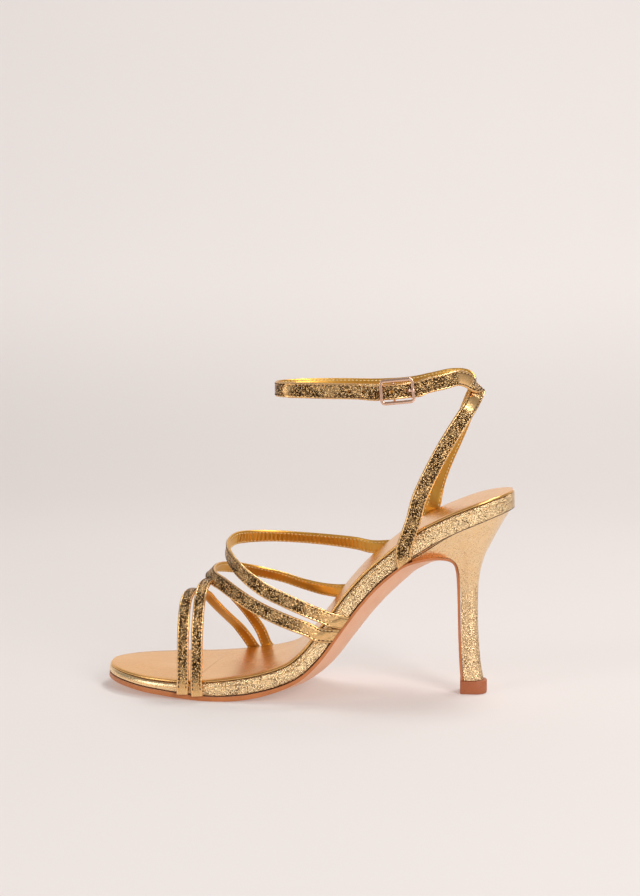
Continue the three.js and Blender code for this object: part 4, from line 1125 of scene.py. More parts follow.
# along, across, foot or over, drop or lift, lean
FRONT_TOE_ROWS = [
    (0.2091, -1, FOOT, 1.30, 0), (0.2091, -1, FOOT, 0.45, 0), (0.2101, -1, FOOT, -0.15, 0),
    (0.2101, -0.985, OVER, 0.30, 0), (0.2101, -0.93, OVER, 0.57, 0), (0.2101, -0.82, OVER, 0.80, 0),
    (0.2111, -0.66, OVER, 0.93, 0), (0.2151, -0.44, OVER, 0.985, 0), (0.2239, -0.18, OVER, 0.97, 0),
    (0.2384, 0.05, OVER, 0.889, 0), (0.2496, 0.25, OVER, 0.755, 0), (0.2644, 0.47, OVER, 0.600, 0),
    (0.2821, 0.70, OVER, 0.440, 0), (0.3018, 0.87, OVER, 0.285, 0), (0.3216, 0.96, OVER, 0.12, 0),
    (0.3373, 1, FOOT, 0.10, 0), (0.3472, 1, FOOT, 0.50, 0), (0.3541, 1, FOOT, 1.30, 0),
]
REAR_TOE_ROWS = [
    (0.2427, -1, FOOT, 1.30, 0), (0.2427, -1, FOOT, 0.45, 0), (0.2437, -1, FOOT, -0.15, 0),
    (0.2446, -0.985, OVER, 0.27, 0), (0.2446, -0.94, OVER, 0.50, 0), (0.2456, -0.84, OVER, 0.73, 0),
    (0.2466, -0.70, OVER, 0.87, 0), (0.2496, -0.50, OVER, 0.96, 0), (0.2565, -0.24, OVER, 0.98, 0),
    (0.2683, 0.04, OVER, 0.93, 0), (0.2831, 0.27, OVER, 0.81, 0), (0.3008, 0.48, OVER, 0.665, 0),
    (0.3196, 0.68, OVER, 0.510, 0), (0.3383, 0.84, OVER, 0.350, 0), (0.3571, 0.95, OVER, 0.180, 0),
    (0.3728, 1, FOOT, 0.05, 0), (0.3847, 1, FOOT, 0.50, 0), (0.3926, 1, FOOT, 1.30, 0),
]
LOWER_INSTEP_ROWS = [
    (0.5484, -1, FOOT, 1.35, 0), (0.5405, -1, FOOT, 0.93, 0), (0.5286, -1, FOOT, 0.10, 2),
    (0.5148, -1.005, OVER, 0.12, 4), (0.4971, -1.01, OVER, 0.247, 6), (0.4724, -1.00, OVER, 0.39, 8),
    (0.4281, -0.94, OVER, 0.56, 10), (0.3807, -0.83, OVER, 0.70, 12), (0.3344, -0.68, OVER, 0.835, 16),
    (0.2949, -0.47, OVER, 0.935, 26), (0.2653, -0.25, OVER, 0.985, 38), (0.2535, -0.02, OVER, 1.02, 46),
    (0.2624, 0.25, OVER, 1.03, 44), (0.2999, 0.56, OVER, 0.97, 38), (0.3541, 0.80, OVER, 0.865, 34),
    (0.4133, 0.98, OVER, 0.74, 32), (0.4724, 1.06, OVER, 0.558, 28), (0.5267, 1.05, OVER, 0.252, 16),
    (0.5720, 1, FOOT, 0.23, 0), (0.5977, 1, FOOT, 1.00, 0),
]
UPPER_INSTEP_ROWS = [
    (0.5696, -1, FOOT, 1.35, 0), (0.5632, -1, FOOT, 0.93, 0), (0.5557, -1, FOOT, 0.20, 2),
    (0.5444, -1.01, OVER, 0.065, 4), (0.5267, -1.015, OVER, 0.175, 6), (0.4971, -1.00, OVER, 0.350, 8),
    (0.4527, -0.94, OVER, 0.536, 10), (0.4083, -0.85, OVER, 0.65, 10), (0.3640, -0.72, OVER, 0.775, 8),
    (0.3314, -0.56, OVER, 0.87, 6), (0.3097, -0.36, OVER, 0.94, 4), (0.2989, -0.14, OVER, 0.985, 4),
    (0.2969, 0.08, OVER, 1.01, 8), (0.3097, 0.32, OVER, 1.03, 14), (0.3442, 0.56, OVER, 1.01, 22),
    (0.4034, 0.82, OVER, 0.955, 30), (0.4675, 1.03, OVER, 0.856, 32), (0.5365, 1.16, OVER, 0.572, 28),
    (0.6056, 1.15, OVER, 0.240, 16), (0.6598, 1.02, FOOT, -0.25, 4), (0.6943, 1, FOOT, 0.53, 0),
    (0.7121, 1, FOOT, 0.93, 0),
]


def strap_point(row, arch):
    along, across, kind, amount = row[:4]
    cut = Cut(along)
    half = cut.half[0] if across < 0 else cut.half[1]
    y = cut.point.y + across * (half + WALL_STAND_OFF)
    point = Vector((cut.point.x, y, cut.point.z))
    if kind == FOOT:
        return point - cut.normal * (amount * cut.thick)
    return point + Vector((0, 0, amount * arch))


print("rows of a toe strap and an instep strap:", len(FRONT_TOE_ROWS), len(UPPER_INSTEP_ROWS))

# %% [markdown]
# ## The two toe straps and the two instep straps
# A toe strap keeps its width along the foot, so its guide is one fixed direction. An instep strap stands on
# its edge and leans in over the foot, by the lean of each row. The foil is crinkled over the foot and
# smooth where the ends are pulled tight over the sole's edge.

# %% Make the four forefoot straps


def toe_guide(place, tangent):
    return Vector((1, 0, 0))


def instep_guide(rows):
    def guide(place, tangent):
        i = min(int(place), len(rows) - 2)
        lean = math.radians(lerp(rows[i][4], rows[i + 1][4], place - i))
        inward = Vector((tangent.y, -tangent.x, 0)).normalized()
        return Vector((0, 0, math.cos(lean))) + inward * math.sin(lean)

    return guide


END_CRINKLE = 0.1


def crinkled_middle(length, fade):
    """A crinkle that fades out towards both ends, within about fade[0] mm and fade[1] mm of them."""

    def read(along):
        start = smoothstep(along, fade[0] * 0.3, fade[0] + 4)
        end = smoothstep(length - along, fade[1] * 0.3, fade[1] + 4)
        return lerp(END_CRINKLE, 1.0, min(start, end))

    return read


def forefoot_strap(name, node, rows, arch, width, guide, fade, creases, pleats=None):
    path, _ = route([strap_point(row, arch) for row in rows], guide, step=0.5)
    crinkle = crinkled_middle(path[-1].along, fade)
    strap = sweep_band(name, path, width, crinkle, creases, pleats=pleats)
    feet = [Cut(rows[1][0]), Cut(rows[-2][0])]
    for foot in feet:
        trim_foot(strap, foot)
    smooth(strap, 50)
    hand_over(strap, "foil_leather", node, finishes=(foil_strap, lining_gold))
    lay_stitches(name + "_stitches", path, width, feet)


# along, across, turn, half length, half width, depth
FRONT_TOE_CREASES = [
    (8.5, -1.0, 48, 2.6, 0.7, 0.22), (11.0, 0.9, 40, 2.2, 0.6, 0.18), (14.5, -0.4, 30, 2.4, 0.6, 0.14),
    (50.0, 0.2, 12, 3.0, 0.7, 0.16), (53.5, -0.6, -8, 2.6, 0.6, 0.13),
]
REAR_TOE_CREASES = [
    (8.0, 0.8, -45, 2.6, 0.7, 0.22), (10.5, -1.0, -36, 2.3, 0.6, 0.17), (15.0, 0.3, -25, 2.2, 0.6, 0.13),
    (52.0, 0.0, 10, 3.0, 0.7, 0.15), (57.0, 0.5, -14, 2.5, 0.6, 0.12),
]
LOWER_INSTEP_CREASES = [
    (9.0, -1.2, 62, 4.0, 0.8, 0.2), (14.0, 1.0, 70, 4.4, 0.8, 0.17), (24.0, -0.6, 78, 5.5, 0.9, 0.15),
    (66.0, 0.4, 8, 3.2, 0.8, 0.16), (71.0, -0.5, -10, 2.8, 0.7, 0.13),
]
UPPER_INSTEP_CREASES = [
    (9.0, 1.1, 58, 3.6, 0.8, 0.2), (15.0, -0.9, 72, 4.2, 0.8, 0.16), (34.0, 0.6, 75, 5.0, 0.9, 0.13),
    (72.0, 0.0, 6, 3.2, 0.8, 0.15), (78.0, 0.6, -12, 2.8, 0.7, 0.12),
]

forefoot_strap(
    "front_toe_band", "front_toe_strap", FRONT_TOE_ROWS, FRONT_TOE_ARCH, TOE_STRAP_WIDTH,
    toe_guide, (10, 10), FRONT_TOE_CREASES,
)
forefoot_strap(
    "rear_toe_band", "instep_straps", REAR_TOE_ROWS, REAR_TOE_ARCH, TOE_STRAP_WIDTH,
    toe_guide, (10, 10), REAR_TOE_CREASES,
)
forefoot_strap(
    "lower_instep_band", "instep_straps", LOWER_INSTEP_ROWS, LOWER_INSTEP_ARCH, INSTEP_STRAP_WIDTH,
    instep_guide(LOWER_INSTEP_ROWS), (30, 10), LOWER_INSTEP_CREASES,
)
forefoot_strap(
    "upper_instep_band", "instep_straps", UPPER_INSTEP_ROWS, UPPER_INSTEP_ARCH, INSTEP_STRAP_WIDTH,
    instep_guide(UPPER_INSTEP_ROWS), (24, 10), UPPER_INSTEP_CREASES, pleats=(0.5, 0.93),
)

# %% [markdown]
# ## The ankle straps
# Two straps come up from the sides of the seat, cross behind the heel and go round the ankle as one level
# loop. One carries the buckle, and the other runs through it and has the holes. Both are bands like the
# rest, and their rows share one loop, a squared circle seen from above, so that they lie side by side.

# %% The ankle loop and the legs
ANKLE_HEIGHT, ANKLE_LOOP_LENGTH, ANKLE_LOOP_WIDTH, LOOP_SQUARE = 160.8, 106.0, 43.0, 0.86
SIDE_BY_SIDE = STRAP_THICKNESS + CLEARANCE
ANKLE_ROWS = [
    (0.4212, 0.998), (0.5069, 1.000), (0.6844, 0.999), (0.7436, 1.006), (0.8028, 1.023), (0.8501, 1.037),
    (0.8698, 1.042), (0.8836, 1.034), (0.8965, 1.018), (0.9063, 1.008), (0.9122, 1.005),
]
LATERAL_FOOT_ROWS = [(0.7071, -1, FOOT, 1.25), (0.7239, -1, FOOT, 0.45), (0.7456, -1, FOOT, 0.00)]
MEDIAL_FOOT_ROWS = [(0.7693, 1, FOOT, 0.97), (0.7821, 1, FOOT, 0.45), (0.7929, 1, FOOT, 0.00)]
# along, across, reach
LATERAL_LEG_ROWS = [
    (0.7604, -1.24, 0.10), (0.7722, -1.19, 0.22), (0.7978, -1.10, 0.37), (0.8274, -0.98, 0.53),
    (0.8580, -0.81, 0.685), (0.8836, -0.60, 0.815), (0.9004, -0.36, 0.915),
]
MEDIAL_LEG_ROWS = [
    (0.8008, 1.10, 0.04), (0.8117, 1.13, 0.20), (0.8314, 1.08, 0.37), (0.8541, 0.98, 0.53),
    (0.8748, 0.80, 0.685), (0.8896, 0.58, 0.815), (0.9004, 0.34, 0.915),
]
ankle_level = column(ANKLE_ROWS, 1)
ANKLE_FRONT = ANKLE_ROWS[0][0] * SOLE_LENGTH
ANKLE_SWING = swing(0.67) * BALL_WIDTH


def ankle_point(turn, stand=0.0):
    angle = math.radians(turn)
    cosine, sine = [math.copysign(abs(v) ** LOOP_SQUARE, v) for v in (math.cos(angle), math.sin(angle))]
    x = ANKLE_FRONT + ANKLE_LOOP_LENGTH / 2 + (ANKLE_LOOP_LENGTH / 2 + stand) * cosine
    y = ANKLE_SWING - (ANKLE_LOOP_WIDTH / 2 + stand) * sine
    return Vector((x, y, ankle_level(x / SOLE_LENGTH) * ANKLE_HEIGHT))


def turns(start, end, count, stand):
    angles = [lerp(start, end, i / count) for i in range(count + 1)]
    return [ankle_point(turn, stand(turn)) for turn in angles]


def leg_point(row, stand=0.0):
    along, across, reach = row
    base = top_height(along)
    y = ANKLE_SWING + across * ANKLE_LOOP_WIDTH / 2
    return Vector((along * SOLE_LENGTH + stand, y, lerp(base, ANKLE_HEIGHT, reach)))


def ankle_guide(leg_count):
    slant, upright = Vector((0.75, 0, -0.66)), Vector((0, 0, -1))

    def guide(place, tangent):
        return slant.lerp(upright, smoothstep(place, leg_count, leg_count + 2))

    return guide


print("front of the ankle loop, mm from the toe:", round(ANKLE_FRONT, 1))

# %% [markdown]
# ## Where the buckle sits
# A buckle works because its layers lie in order: strap below, pivot bar in its fold, free strap over the
# bar and under the frame, prong on top. Every depth is worked out from the thicknesses and one clearance,
# so the layers touch nowhere and nothing has to be pushed into place by eye.

# %% The buckle's place and depths
BUCKLE_LENGTH, BUCKLE_HEIGHT, BUCKLE_BAR, BUCKLE_ROUND = 18.0, 13.2, 1.5, 2.6
PRONG_WIDTH, PRONG_THICKNESS, BUCKLE_TURN = 1.6, 1.0, 80.5
# at, rise
FREE_END_ROWS = [
    (0.62, 0), (0.455, 0), (0.30, 0.27), (0.11, 0.73), (-0.095, 1), (-0.28, 0.5), (-0.455, 0), (-0.62, 0),
]
PRONG_ROWS = [
    (-0.01, 0.04), (0.128, 0), (0.222, 0.136), (0.280, 0.477), (0.333, 0.864), (0.406, 1), (0.511, 1),
]

buckle_along = (ankle_point(BUCKLE_TURN - 6) - ankle_point(BUCKLE_TURN + 6)).normalized()
buckle_out = Vector((buckle_along.y, -buckle_along.x, 0)).normalized()
buckle_up = buckle_out.cross(buckle_along)
buckle_centre = ankle_point(BUCKLE_TURN)


def at_buckle(along, out, up=0.0):
    return buckle_centre + buckle_along * along + buckle_out * out + buckle_up * up


SKIVED = 0.62
FOLD_THICKNESS = SKIVED * STRAP_THICKNESS
PIVOT_RADIUS = 0.4 * BUCKLE_BAR
FOLD_RADIUS = PIVOT_RADIUS + CLEARANCE + FOLD_THICKNESS / 2
PIVOT_OUT = FOLD_RADIUS - CLEARANCE
PIVOT_AT = FREE_END_ROWS[4][0] * BUCKLE_LENGTH
OVER_PIVOT = PIVOT_OUT + FOLD_RADIUS + FOLD_THICKNESS / 2 + CLEARANCE + STRAP_THICKNESS / 2
FRAME_OUT = SIDE_BY_SIDE + STRAP_THICKNESS / 2 + CLEARANCE + BUCKLE_BAR / 2
PRONG_REST = FRAME_OUT + BUCKLE_BAR / 2 + CLEARANCE + PRONG_THICKNESS / 2
PRONG_HOLE_AT = 0.28 * BUCKLE_LENGTH
HOLE_SIZE, HOLE_PITCH, HOLE_COUNT = 1.8, 7.3, 5
print("depths of bar, frame and prong, mm:", [round(out, 2) for out in (PIVOT_OUT, FRAME_OUT, PRONG_REST)])

# %% [markdown]
# ## The strap that carries the buckle
# It rises from the outer side of the seat, bends behind the heel and goes round to the buckle, where it gets
# thinner, as skived leather does, before it folds round the bar. At the bend the skin is stretched flat and
# shines, so the crinkle is taken away there.

# %% Make the strap that carries the buckle
lateral_points = [strap_point(row, 0) for row in LATERAL_FOOT_ROWS]
lateral_points += [leg_point(row) for row in LATERAL_LEG_ROWS]
lateral_points += turns(0, -270, 18, lambda turn: 0.0)
lateral_points += [
    at_buckle(-0.40 * BUCKLE_LENGTH, 0),
    at_buckle(-0.25 * BUCKLE_LENGTH, 0.4 * (PIVOT_OUT - FOLD_RADIUS)),
    at_buckle(PIVOT_AT, PIVOT_OUT - FOLD_RADIUS),
]
lateral_count = len(LATERAL_FOOT_ROWS) + len(LATERAL_LEG_ROWS)
buckle_path, buckle_marks = route(lateral_points, ankle_guide(lateral_count))
for station in buckle_path[-30:]:
    share = (station.point - buckle_centre).dot(buckle_along) / BUCKLE_LENGTH
    station.slim = lerp(1, SKIVED, smoothstep(share, -0.42, -0.2))


def with_smooth_patches(base, patches):
    """Some places of a strap are flat and bright: each patch is its middle and half length in mm."""

    def read(along):
        value = base(along)
        for middle, half in patches:
            value *= smoothstep(abs(along - middle), half * 0.75, half * 1.25)
        return value

    return read


leg_top = buckle_marks[lateral_count - 1]
buckle_crinkle = crinkled_middle(buckle_path[-1].along, (4, 4))
buckle_crinkle = with_smooth_patches(buckle_crinkle, [(leg_top - 3, 5.5)])
ankle_front = buckle_marks[lateral_count + 9]
buckle_creases = [
    (8.0, 1.2, 55, 3.2, 0.8, 0.2), (12.5, -1.0, 62, 3.4, 0.8, 0.16), (leg_top - 9, 0.5, 14, 3.4, 0.8, 0.2),
    (leg_top + 2, -0.4, -10, 3.6, 0.8, 0.24), (leg_top + 6, 0.8, 16, 3.0, 0.7, 0.18),
    (ankle_front - 3, 0.3, 5, 4.0, 0.8, 0.22), (ankle_front + 2, -0.5, -8, 3.6, 0.7, 0.18),
]
buckle_band = sweep_band("buckle_band", buckle_path, ANKLE_STRAP_WIDTH, buckle_crinkle, buckle_creases)
lateral_foot = Cut(LATERAL_FOOT_ROWS[1][0])
trim_foot(buckle_band, lateral_foot)
smooth(buckle_band, 50)
hand_over(buckle_band, "foil_leather", "ankle_straps", finishes=(foil_strap, lining_gold))
lay_stitches("buckle_band_stitches", buckle_path, ANKLE_STRAP_WIDTH, [lateral_foot])

# %% [markdown]
# ## The fold
# The end of the strap goes round the bar and back along itself. It could be the end of the same loft, but so
# tight a turn pinches a thick band, so the fold is a short thin band of its own, with finer steps.

# %% Make the fold round the buckle's bar
fold_points = [at_buckle(PIVOT_AT - FOLD_RADIUS, PIVOT_OUT - FOLD_RADIUS)]
for degrees in (-80, -45, -10, 25, 60, 95):
    angle = math.radians(degrees)
    along, out = FOLD_RADIUS * math.cos(angle), FOLD_RADIUS * math.sin(angle)
    fold_points.append(at_buckle(PIVOT_AT + along, PIVOT_OUT + out))
fold_points += [
    at_buckle(PIVOT_AT - FOLD_RADIUS, 0.9 * (PIVOT_OUT + FOLD_RADIUS)),
    at_buckle(PIVOT_AT - 2.1 * FOLD_RADIUS, 0.6 * (PIVOT_OUT + FOLD_RADIUS)),
    at_buckle(PIVOT_AT - 3 * FOLD_RADIUS, 0.52 * (PIVOT_OUT + FOLD_RADIUS)),
]
fold_path, _ = route(fold_points, lambda place, tangent: -buckle_up, step=0.3)
fold = sweep_band(
    "buckle_fold", fold_path, ANKLE_STRAP_WIDTH - 0.1, lambda along: 0.6, thickness=FOLD_THICKNESS,
)
smooth(fold, 50)
hand_over(fold, "foil_leather", "ankle_straps", finishes=(foil_strap, lining_gold))

# %% [markdown]
# ## The free strap
# The other strap rises from the inner side of the seat, crosses under the first, runs through the buckle and
# ends in a round tip. Its holes are real: a rod is cut away at each, because a dark dot would show as
# paint at a low angle. The round tip is made by narrowing the last stations along a circle.

# %% Make the free strap with its holes
UNDER, BESIDE = -0.65 * STRAP_THICKNESS, 1.06 * SIDE_BY_SIDE


def free_stand(turn):
    return lerp(UNDER, SIDE_BY_SIDE, smoothstep(turn, 20, 66))


free_points = [strap_point(row, 0) for row in MEDIAL_FOOT_ROWS]
free_points += [leg_point(row, UNDER * smoothstep(row[2], 0.4, 1)) for row in MEDIAL_LEG_ROWS]
free_points += turns(0, 66, 5, free_stand)
for at, up in FREE_END_ROWS:
    free_points.append(at_buckle(at * BUCKLE_LENGTH, lerp(SIDE_BY_SIDE, OVER_PIVOT, up)))
free_points += turns(97, 143, 3, lambda turn: BESIDE)
medial_count = len(MEDIAL_FOOT_ROWS) + len(MEDIAL_LEG_ROWS)
free_path, free_marks = route(free_points, ankle_guide(medial_count))
tip = free_path[-1]
tip_tangent = tip.out.cross(tip.across)
TIP_SHARES, TIP_REACH = (0.2, 0.4, 0.6, 0.75, 0.88, 0.96), 0.36
for share in TIP_SHARES:
    reach = share * ANKLE_STRAP_WIDTH * TIP_REACH
    end = Station(tip.point + tip_tangent * reach, tip.across, tip.out, tip.along + reach)
    end.scale = math.sqrt(1 - share * share)
    free_path.append(end)

bend = free_marks[medial_count + 1]
free_crinkle = with_smooth_patches(crinkled_middle(free_path[-1].along, (4, 2)), [(bend + 9, 5)])
hump = free_marks[medial_count + 6 + 4]
free_creases = [
    (bend - 4, 0.4, 12, 3.6, 0.8, 0.22), (bend + 3, -0.6, -10, 3.4, 0.8, 0.2),
    (hump - 5, 0.2, 6, 3.8, 0.8, 0.18), (hump + 4, -0.3, -8, 3.8, 0.8, 0.2),
    (hump + 9, 0.7, 20, 3.0, 0.7, 0.14),
]
free_band = sweep_band("free_band", free_path, ANKLE_STRAP_WIDTH, free_crinkle, free_creases, facing=-1)


DRILL_DEPTH, ROUND_SIDES = 6.0, 20


def add_rod(middle, axis, radius, length):
    """A round rod with its axis through a point of the maker's frame."""
    deselect_all()
    bpy.ops.mesh.primitive_cylinder_add(
        vertices=ROUND_SIDES, radius=radius * MM, depth=length * MM, location=placed(middle),
        rotation=axis.to_track_quat("Z", "Y").to_euler(),
    )
    return bpy.context.active_object


def drill(piece, station, size):
    cut_away(piece, add_rod(station.point, station.out, size / 2, DRILL_DEPTH))


buckle_half = [s for s in free_path if s.along > free_marks[medial_count + 3]]
for i in range(HOLE_COUNT):
    wanted = PRONG_HOLE_AT - i * HOLE_PITCH
    nearest = min(buckle_half, key=lambda s: abs((s.point - buckle_centre).dot(buckle_along) - wanted))
    drill(free_band, nearest, HOLE_SIZE)
medial_foot = Cut(MEDIAL_FOOT_ROWS[1][0])
trim_foot(free_band, medial_foot)
smooth(free_band, 50)
hand_over(free_band, "foil_leather", "ankle_straps", finishes=(foil_strap, lining_gold))
lay_stitches("free_band_stitches", free_path, ANKLE_STRAP_WIDTH, [medial_foot], facing=-1)

# %% [markdown]
# ## The buckle
# The frame is bent from one wire and plated rose gold. It is modelled from a plane: its corners are
# bevelled round, an inset opens it, an extrusion gives the wire its thickness, and a last bevel rounds the
# wire. The pivot bar and its two ears are round bars, joined to the frame. The prong is a small rod, lofted
# along its bent line, with a ring round the pivot bar, and it rests on the far end of the frame.

# %% Model the frame flat, then lay it in place


def lay_at_buckle(piece, out):
    """Moves a piece, modelled flat in metres round the origin, to the buckle's place."""
    centre = placed(at_buckle(0, out))
    turn = Matrix((buckle_along, buckle_up, buckle_out)).transposed().to_4x4()
    piece.data.transform(Matrix.Translation(centre) @ turn)


WIRE, WIRE_BEVEL, BAR_BEVEL = 1.75, 0.5, 0.15
deselect_all()
bpy.ops.mesh.primitive_plane_add(size=1)
buckle = bpy.context.active_object
buckle.name = "rose_buckle_frame"
bpy.ops.object.mode_set(mode="EDIT")
bpy.ops.mesh.select_all(action="SELECT")
bpy.ops.transform.resize(value=(BUCKLE_LENGTH * MM, BUCKLE_HEIGHT * MM, 1), center_override=(0, 0, 0))
bpy.ops.mesh.bevel(offset=BUCKLE_ROUND * MM, segments=8, affect="VERTICES")
bpy.ops.mesh.select_all(action="SELECT")
bpy.ops.mesh.inset(thickness=WIRE * MM, use_boundary=True)
bpy.ops.mesh.delete(type="FACE")
bpy.ops.mesh.select_all(action="SELECT")
bpy.ops.mesh.extrude_region_move(TRANSFORM_OT_translate={"value": (0, 0, BUCKLE_BAR * MM)})
bpy.ops.mesh.select_all(action="SELECT")
bpy.ops.transform.translate(value=(0, 0, -BUCKLE_BAR / 2 * MM))
bpy.ops.mesh.normals_make_consistent(inside=False)
bpy.ops.object.mode_set(mode="OBJECT")
bevel_edges(buckle, WIRE_BEVEL, 3, 50)
lay_at_buckle(buckle, FRAME_OUT)


def add_bar(start, end, radius, name):
    """A round bar with softened ends between two points of the maker's frame."""
    axis = end - start
    bar = add_rod((start + end) / 2, axis, radius, axis.length)
    bar.name = name
    bpy.ops.object.transform_apply(location=True, rotation=True, scale=True)
    bevel_edges(bar, BAR_BEVEL, 2, 50)
    return bar


reach = (BUCKLE_HEIGHT - BUCKLE_BAR) / 2
low_end, high_end = [at_buckle(PIVOT_AT, PIVOT_OUT, side) for side in (-reach, reach)]
parts = [add_bar(low_end, high_end, PIVOT_RADIUS, "bar")]
for side in (-reach, reach):
    inner_end = at_buckle(PIVOT_AT, PIVOT_OUT - PIVOT_RADIUS, side)
    parts.append(add_bar(inner_end, at_buckle(PIVOT_AT, FRAME_OUT, side), PIVOT_RADIUS, "ear"))
deselect_all()
for part in parts + [buckle]:
    part.select_set(True)
bpy.context.view_layer.objects.active = buckle
bpy.ops.object.join()
smooth(buckle, 45)
hand_over(buckle, "buckle_metal", "buckle_frame", finishes=(rose_gold,))

# %% [markdown]
# ## The prong
# A prong is a short bent pin. A cylinder bent by hand would kink at each turn, so it is lofted along a
# spline, square with soft corners, and its size closes to a round end. A torus makes its ring.

# %% Model the prong
PRONG_SIDES, PRONG_SQUARE, PRONG_TIP = 16, 0.75, 1.2
prong_points = [
    at_buckle(at * BUCKLE_LENGTH, lerp(PIVOT_OUT - 0.2, PRONG_REST, up)) for at, up in PRONG_ROWS
]
prong_path, _ = route(prong_points, lambda place, tangent: buckle_up, step=0.35)
prong_rings = []
for station in prong_path:
    from_tip = (prong_path[-1].along - station.along) / PRONG_TIP
    size = math.sqrt(clamp(1 - (1 - clamp(from_tip)) ** 2, 0.05, 1.0))
    ring = []
    for k in range(PRONG_SIDES):
        angle = 2 * math.pi * k / PRONG_SIDES
        a, b = [math.copysign(abs(v) ** PRONG_SQUARE, v) for v in (math.cos(angle), math.sin(angle))]
        across, out = a * PRONG_WIDTH / 2 * size, b * PRONG_THICKNESS / 2 * size
        ring.append(station.point + station.across * across + station.out * out)
    prong_rings.append(ring)
prong = loft("rose_buckle_prong", prong_rings)
deselect_all()
ring_radius = PIVOT_RADIUS + CLEARANCE + PRONG_THICKNESS / 2
bpy.ops.mesh.primitive_torus_add(
    major_radius=ring_radius * MM, minor_radius=PRONG_THICKNESS / 2 * MM,
    major_segments=28, minor_segments=12,
    location=placed(at_buckle(PIVOT_AT, PIVOT_OUT)), rotation=buckle_up.to_track_quat("Z", "Y").to_euler(),
)
ring = bpy.context.active_object
bpy.ops.object.transform_apply(location=True, rotation=True, scale=True)
make_active(prong)
ring.select_set(True)
bpy.ops.object.join()
smooth(prong, 60)
hand_over(prong, "buckle_metal", "buckle_prong", finishes=(rose_gold,))

# %% [markdown]
# ## The studio
# The sandal stands on a pale paper sweep: a floor that curves up into the wall behind, so no line shows
# between them. Soft lights stand left and right and one hangs overhead, because foil shows the room more
# than its own colour. The paper glows a little, as paper does in a bright room, so it stays pale to its edge.

# %% The paper sweep
SWEEP_HALF, SWEEP_BACK, SWEEP_HEIGHT, SWEEP_CURVE = 3.0, 1.6, 3.0, 0.9
PAPER_GLOW, GLOW_FULL_AT, PAPER_CLOUD = 0.43, 0.22, 300.0


def select_far_edges(piece, lower_than):
    """Selects the edges along the back of the paper that lie lower than a height."""
    bpy.ops.mesh.select_all(action="DESELECT")
    mesh = bmesh.from_edit_mesh(piece.data)
    for edge in mesh.edges:
        edge.select = all(v.co.y > SWEEP_BACK - 0.01 and v.co.z < lower_than for v in edge.verts)
    bmesh.update_edit_mesh(piece.data)


deselect_all()
bpy.ops.mesh.primitive_plane_add(size=2 * SWEEP_HALF, location=(0, SWEEP_BACK - SWEEP_HALF, -0.0001))
sweep = bpy.context.active_object
sweep.name = "paper_sweep"
bpy.ops.object.transform_apply(location=True)
bpy.ops.object.mode_set(mode="EDIT")
bpy.ops.mesh.select_mode(type="EDGE")
select_far_edges(sweep, SWEEP_HEIGHT)
bpy.ops.mesh.extrude_region_move(TRANSFORM_OT_translate={"value": (0, 0, SWEEP_HEIGHT)})
select_far_edges(sweep, 0.1)
bpy.ops.mesh.bevel(offset=SWEEP_CURVE, segments=24)
bpy.ops.object.mode_set(mode="OBJECT")
smooth(sweep, 80)
paper = Finish("paper", Roughness=0.9, Emission_Strength=PAPER_GLOW)
height = paper.node("ShaderNodeSeparateXYZ", {"Vector": paper.spot()}, out="Z")
sweep.data.materials.append(paper.feed(
    Base_Color=paper.blend(paper.cloud(PAPER_CLOUD), tone("#CAC4C1"), tone("#C6C0BD")),
    Emission_Color=paper.blend(paper.between(height, 0.0, GLOW_FULL_AT), tone("#C5BDB9"), tone("#EEE6E2")),
))
print("paper faces:", len(sweep.data.polygons))

# %% [markdown]
# ## Light
# A window would be the easiest light, but foil shows it as a hard shape. Three soft panels are kinder: a big
# one to the right of the camera, a weaker one to the left and a small one above, which draws the shadow
# on the paper. The room itself is a weak even grey.

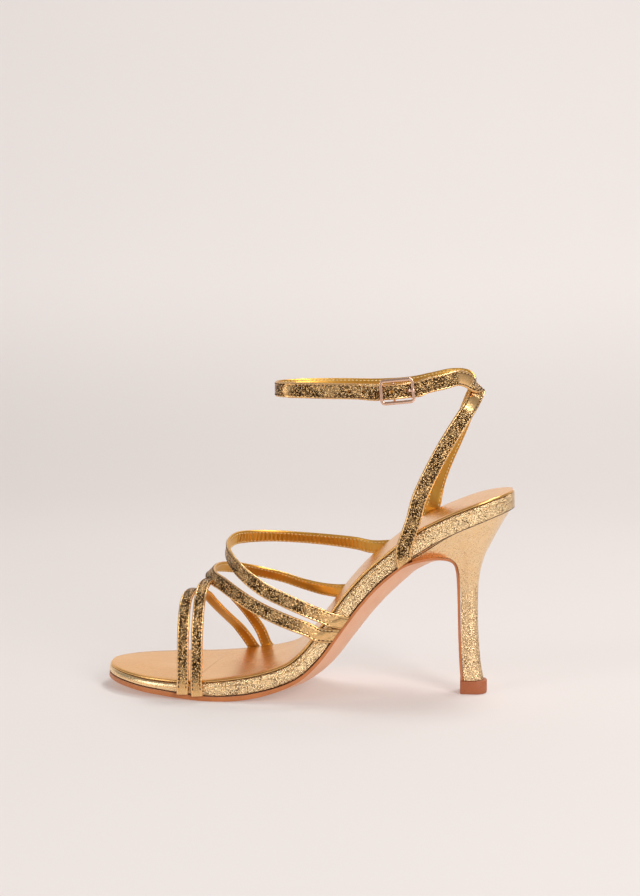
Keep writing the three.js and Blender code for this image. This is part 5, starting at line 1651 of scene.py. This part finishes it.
# %% Lights
# name, place, aim, width and height in metres, power in watts
SOFT_LIGHTS = [
    ("right_front", (1.1, -1.3, 0.9), (0, 0, 0.05), (0.7, 1.1), 19),
    ("left_front", (-1.3, -1.1, 0.7), (0, 0, 0.05), (0.5, 1.1), 6),
    ("overhead", (0.45, 0.35, 1.5), (0, 0, 0), (0.6, 0.4), 10.5),
]
WORLD_COLOUR, WORLD_STRENGTH = (0.9, 0.88, 0.87, 1.0), 0.32

for name, place, aim, size, power in SOFT_LIGHTS:
    lamp = bpy.data.lights.new(name, "AREA")
    lamp.shape, lamp.size, lamp.size_y = "RECTANGLE", size[0], size[1]
    lamp.energy = power
    holder = bpy.data.objects.new(name, lamp)
    bpy.context.scene.collection.objects.link(holder)
    holder.location = place
    holder.rotation_euler = (Vector(aim) - Vector(place)).to_track_quat("-Z", "Y").to_euler()

world = bpy.data.worlds.new("studio")
bpy.context.scene.world = world
world.use_nodes = True
background = world.node_tree.nodes["Background"].inputs
background["Color"].default_value = WORLD_COLOUR
background["Strength"].default_value = WORLD_STRENGTH
bpy.context.scene.view_settings.view_transform = "Standard"
print("lights:", len(SOFT_LIGHTS), "and a pale room")

# %% [markdown]
# ## The camera
# The camera stands level with the sandal's outer side, turned a little towards the heel and looking a little
# down, as in the picture that the sandal is made after. Its long lens keeps the proportions calm.

# %% Place the camera
CAMERA_TURN, CAMERA_DOWN, CAMERA_AWAY = math.radians(5.0), math.radians(6.1), 0.937
CAMERA_AIM = Vector((0.0057, -0.0005, 0.1287))
PHOTO_HEIGHT_PX, FOCAL_PX, SENSOR = 896, 1770, 36.0
to_camera = Vector((
    math.sin(CAMERA_TURN) * math.cos(CAMERA_DOWN), -math.cos(CAMERA_TURN) * math.cos(CAMERA_DOWN),
    math.sin(CAMERA_DOWN),
))
camera_data = bpy.data.cameras.new("camera")
camera_data.sensor_fit, camera_data.sensor_height = "VERTICAL", SENSOR
camera_data.lens = FOCAL_PX / PHOTO_HEIGHT_PX * SENSOR
camera = bpy.data.objects.new("camera", camera_data)
bpy.context.scene.collection.objects.link(camera)
camera.location = CAMERA_AIM + to_camera * CAMERA_AWAY
camera.rotation_euler = (-to_camera).to_track_quat("-Z", "Y").to_euler()
bpy.context.scene.camera = camera
print("lens in mm:", round(camera_data.lens, 1))
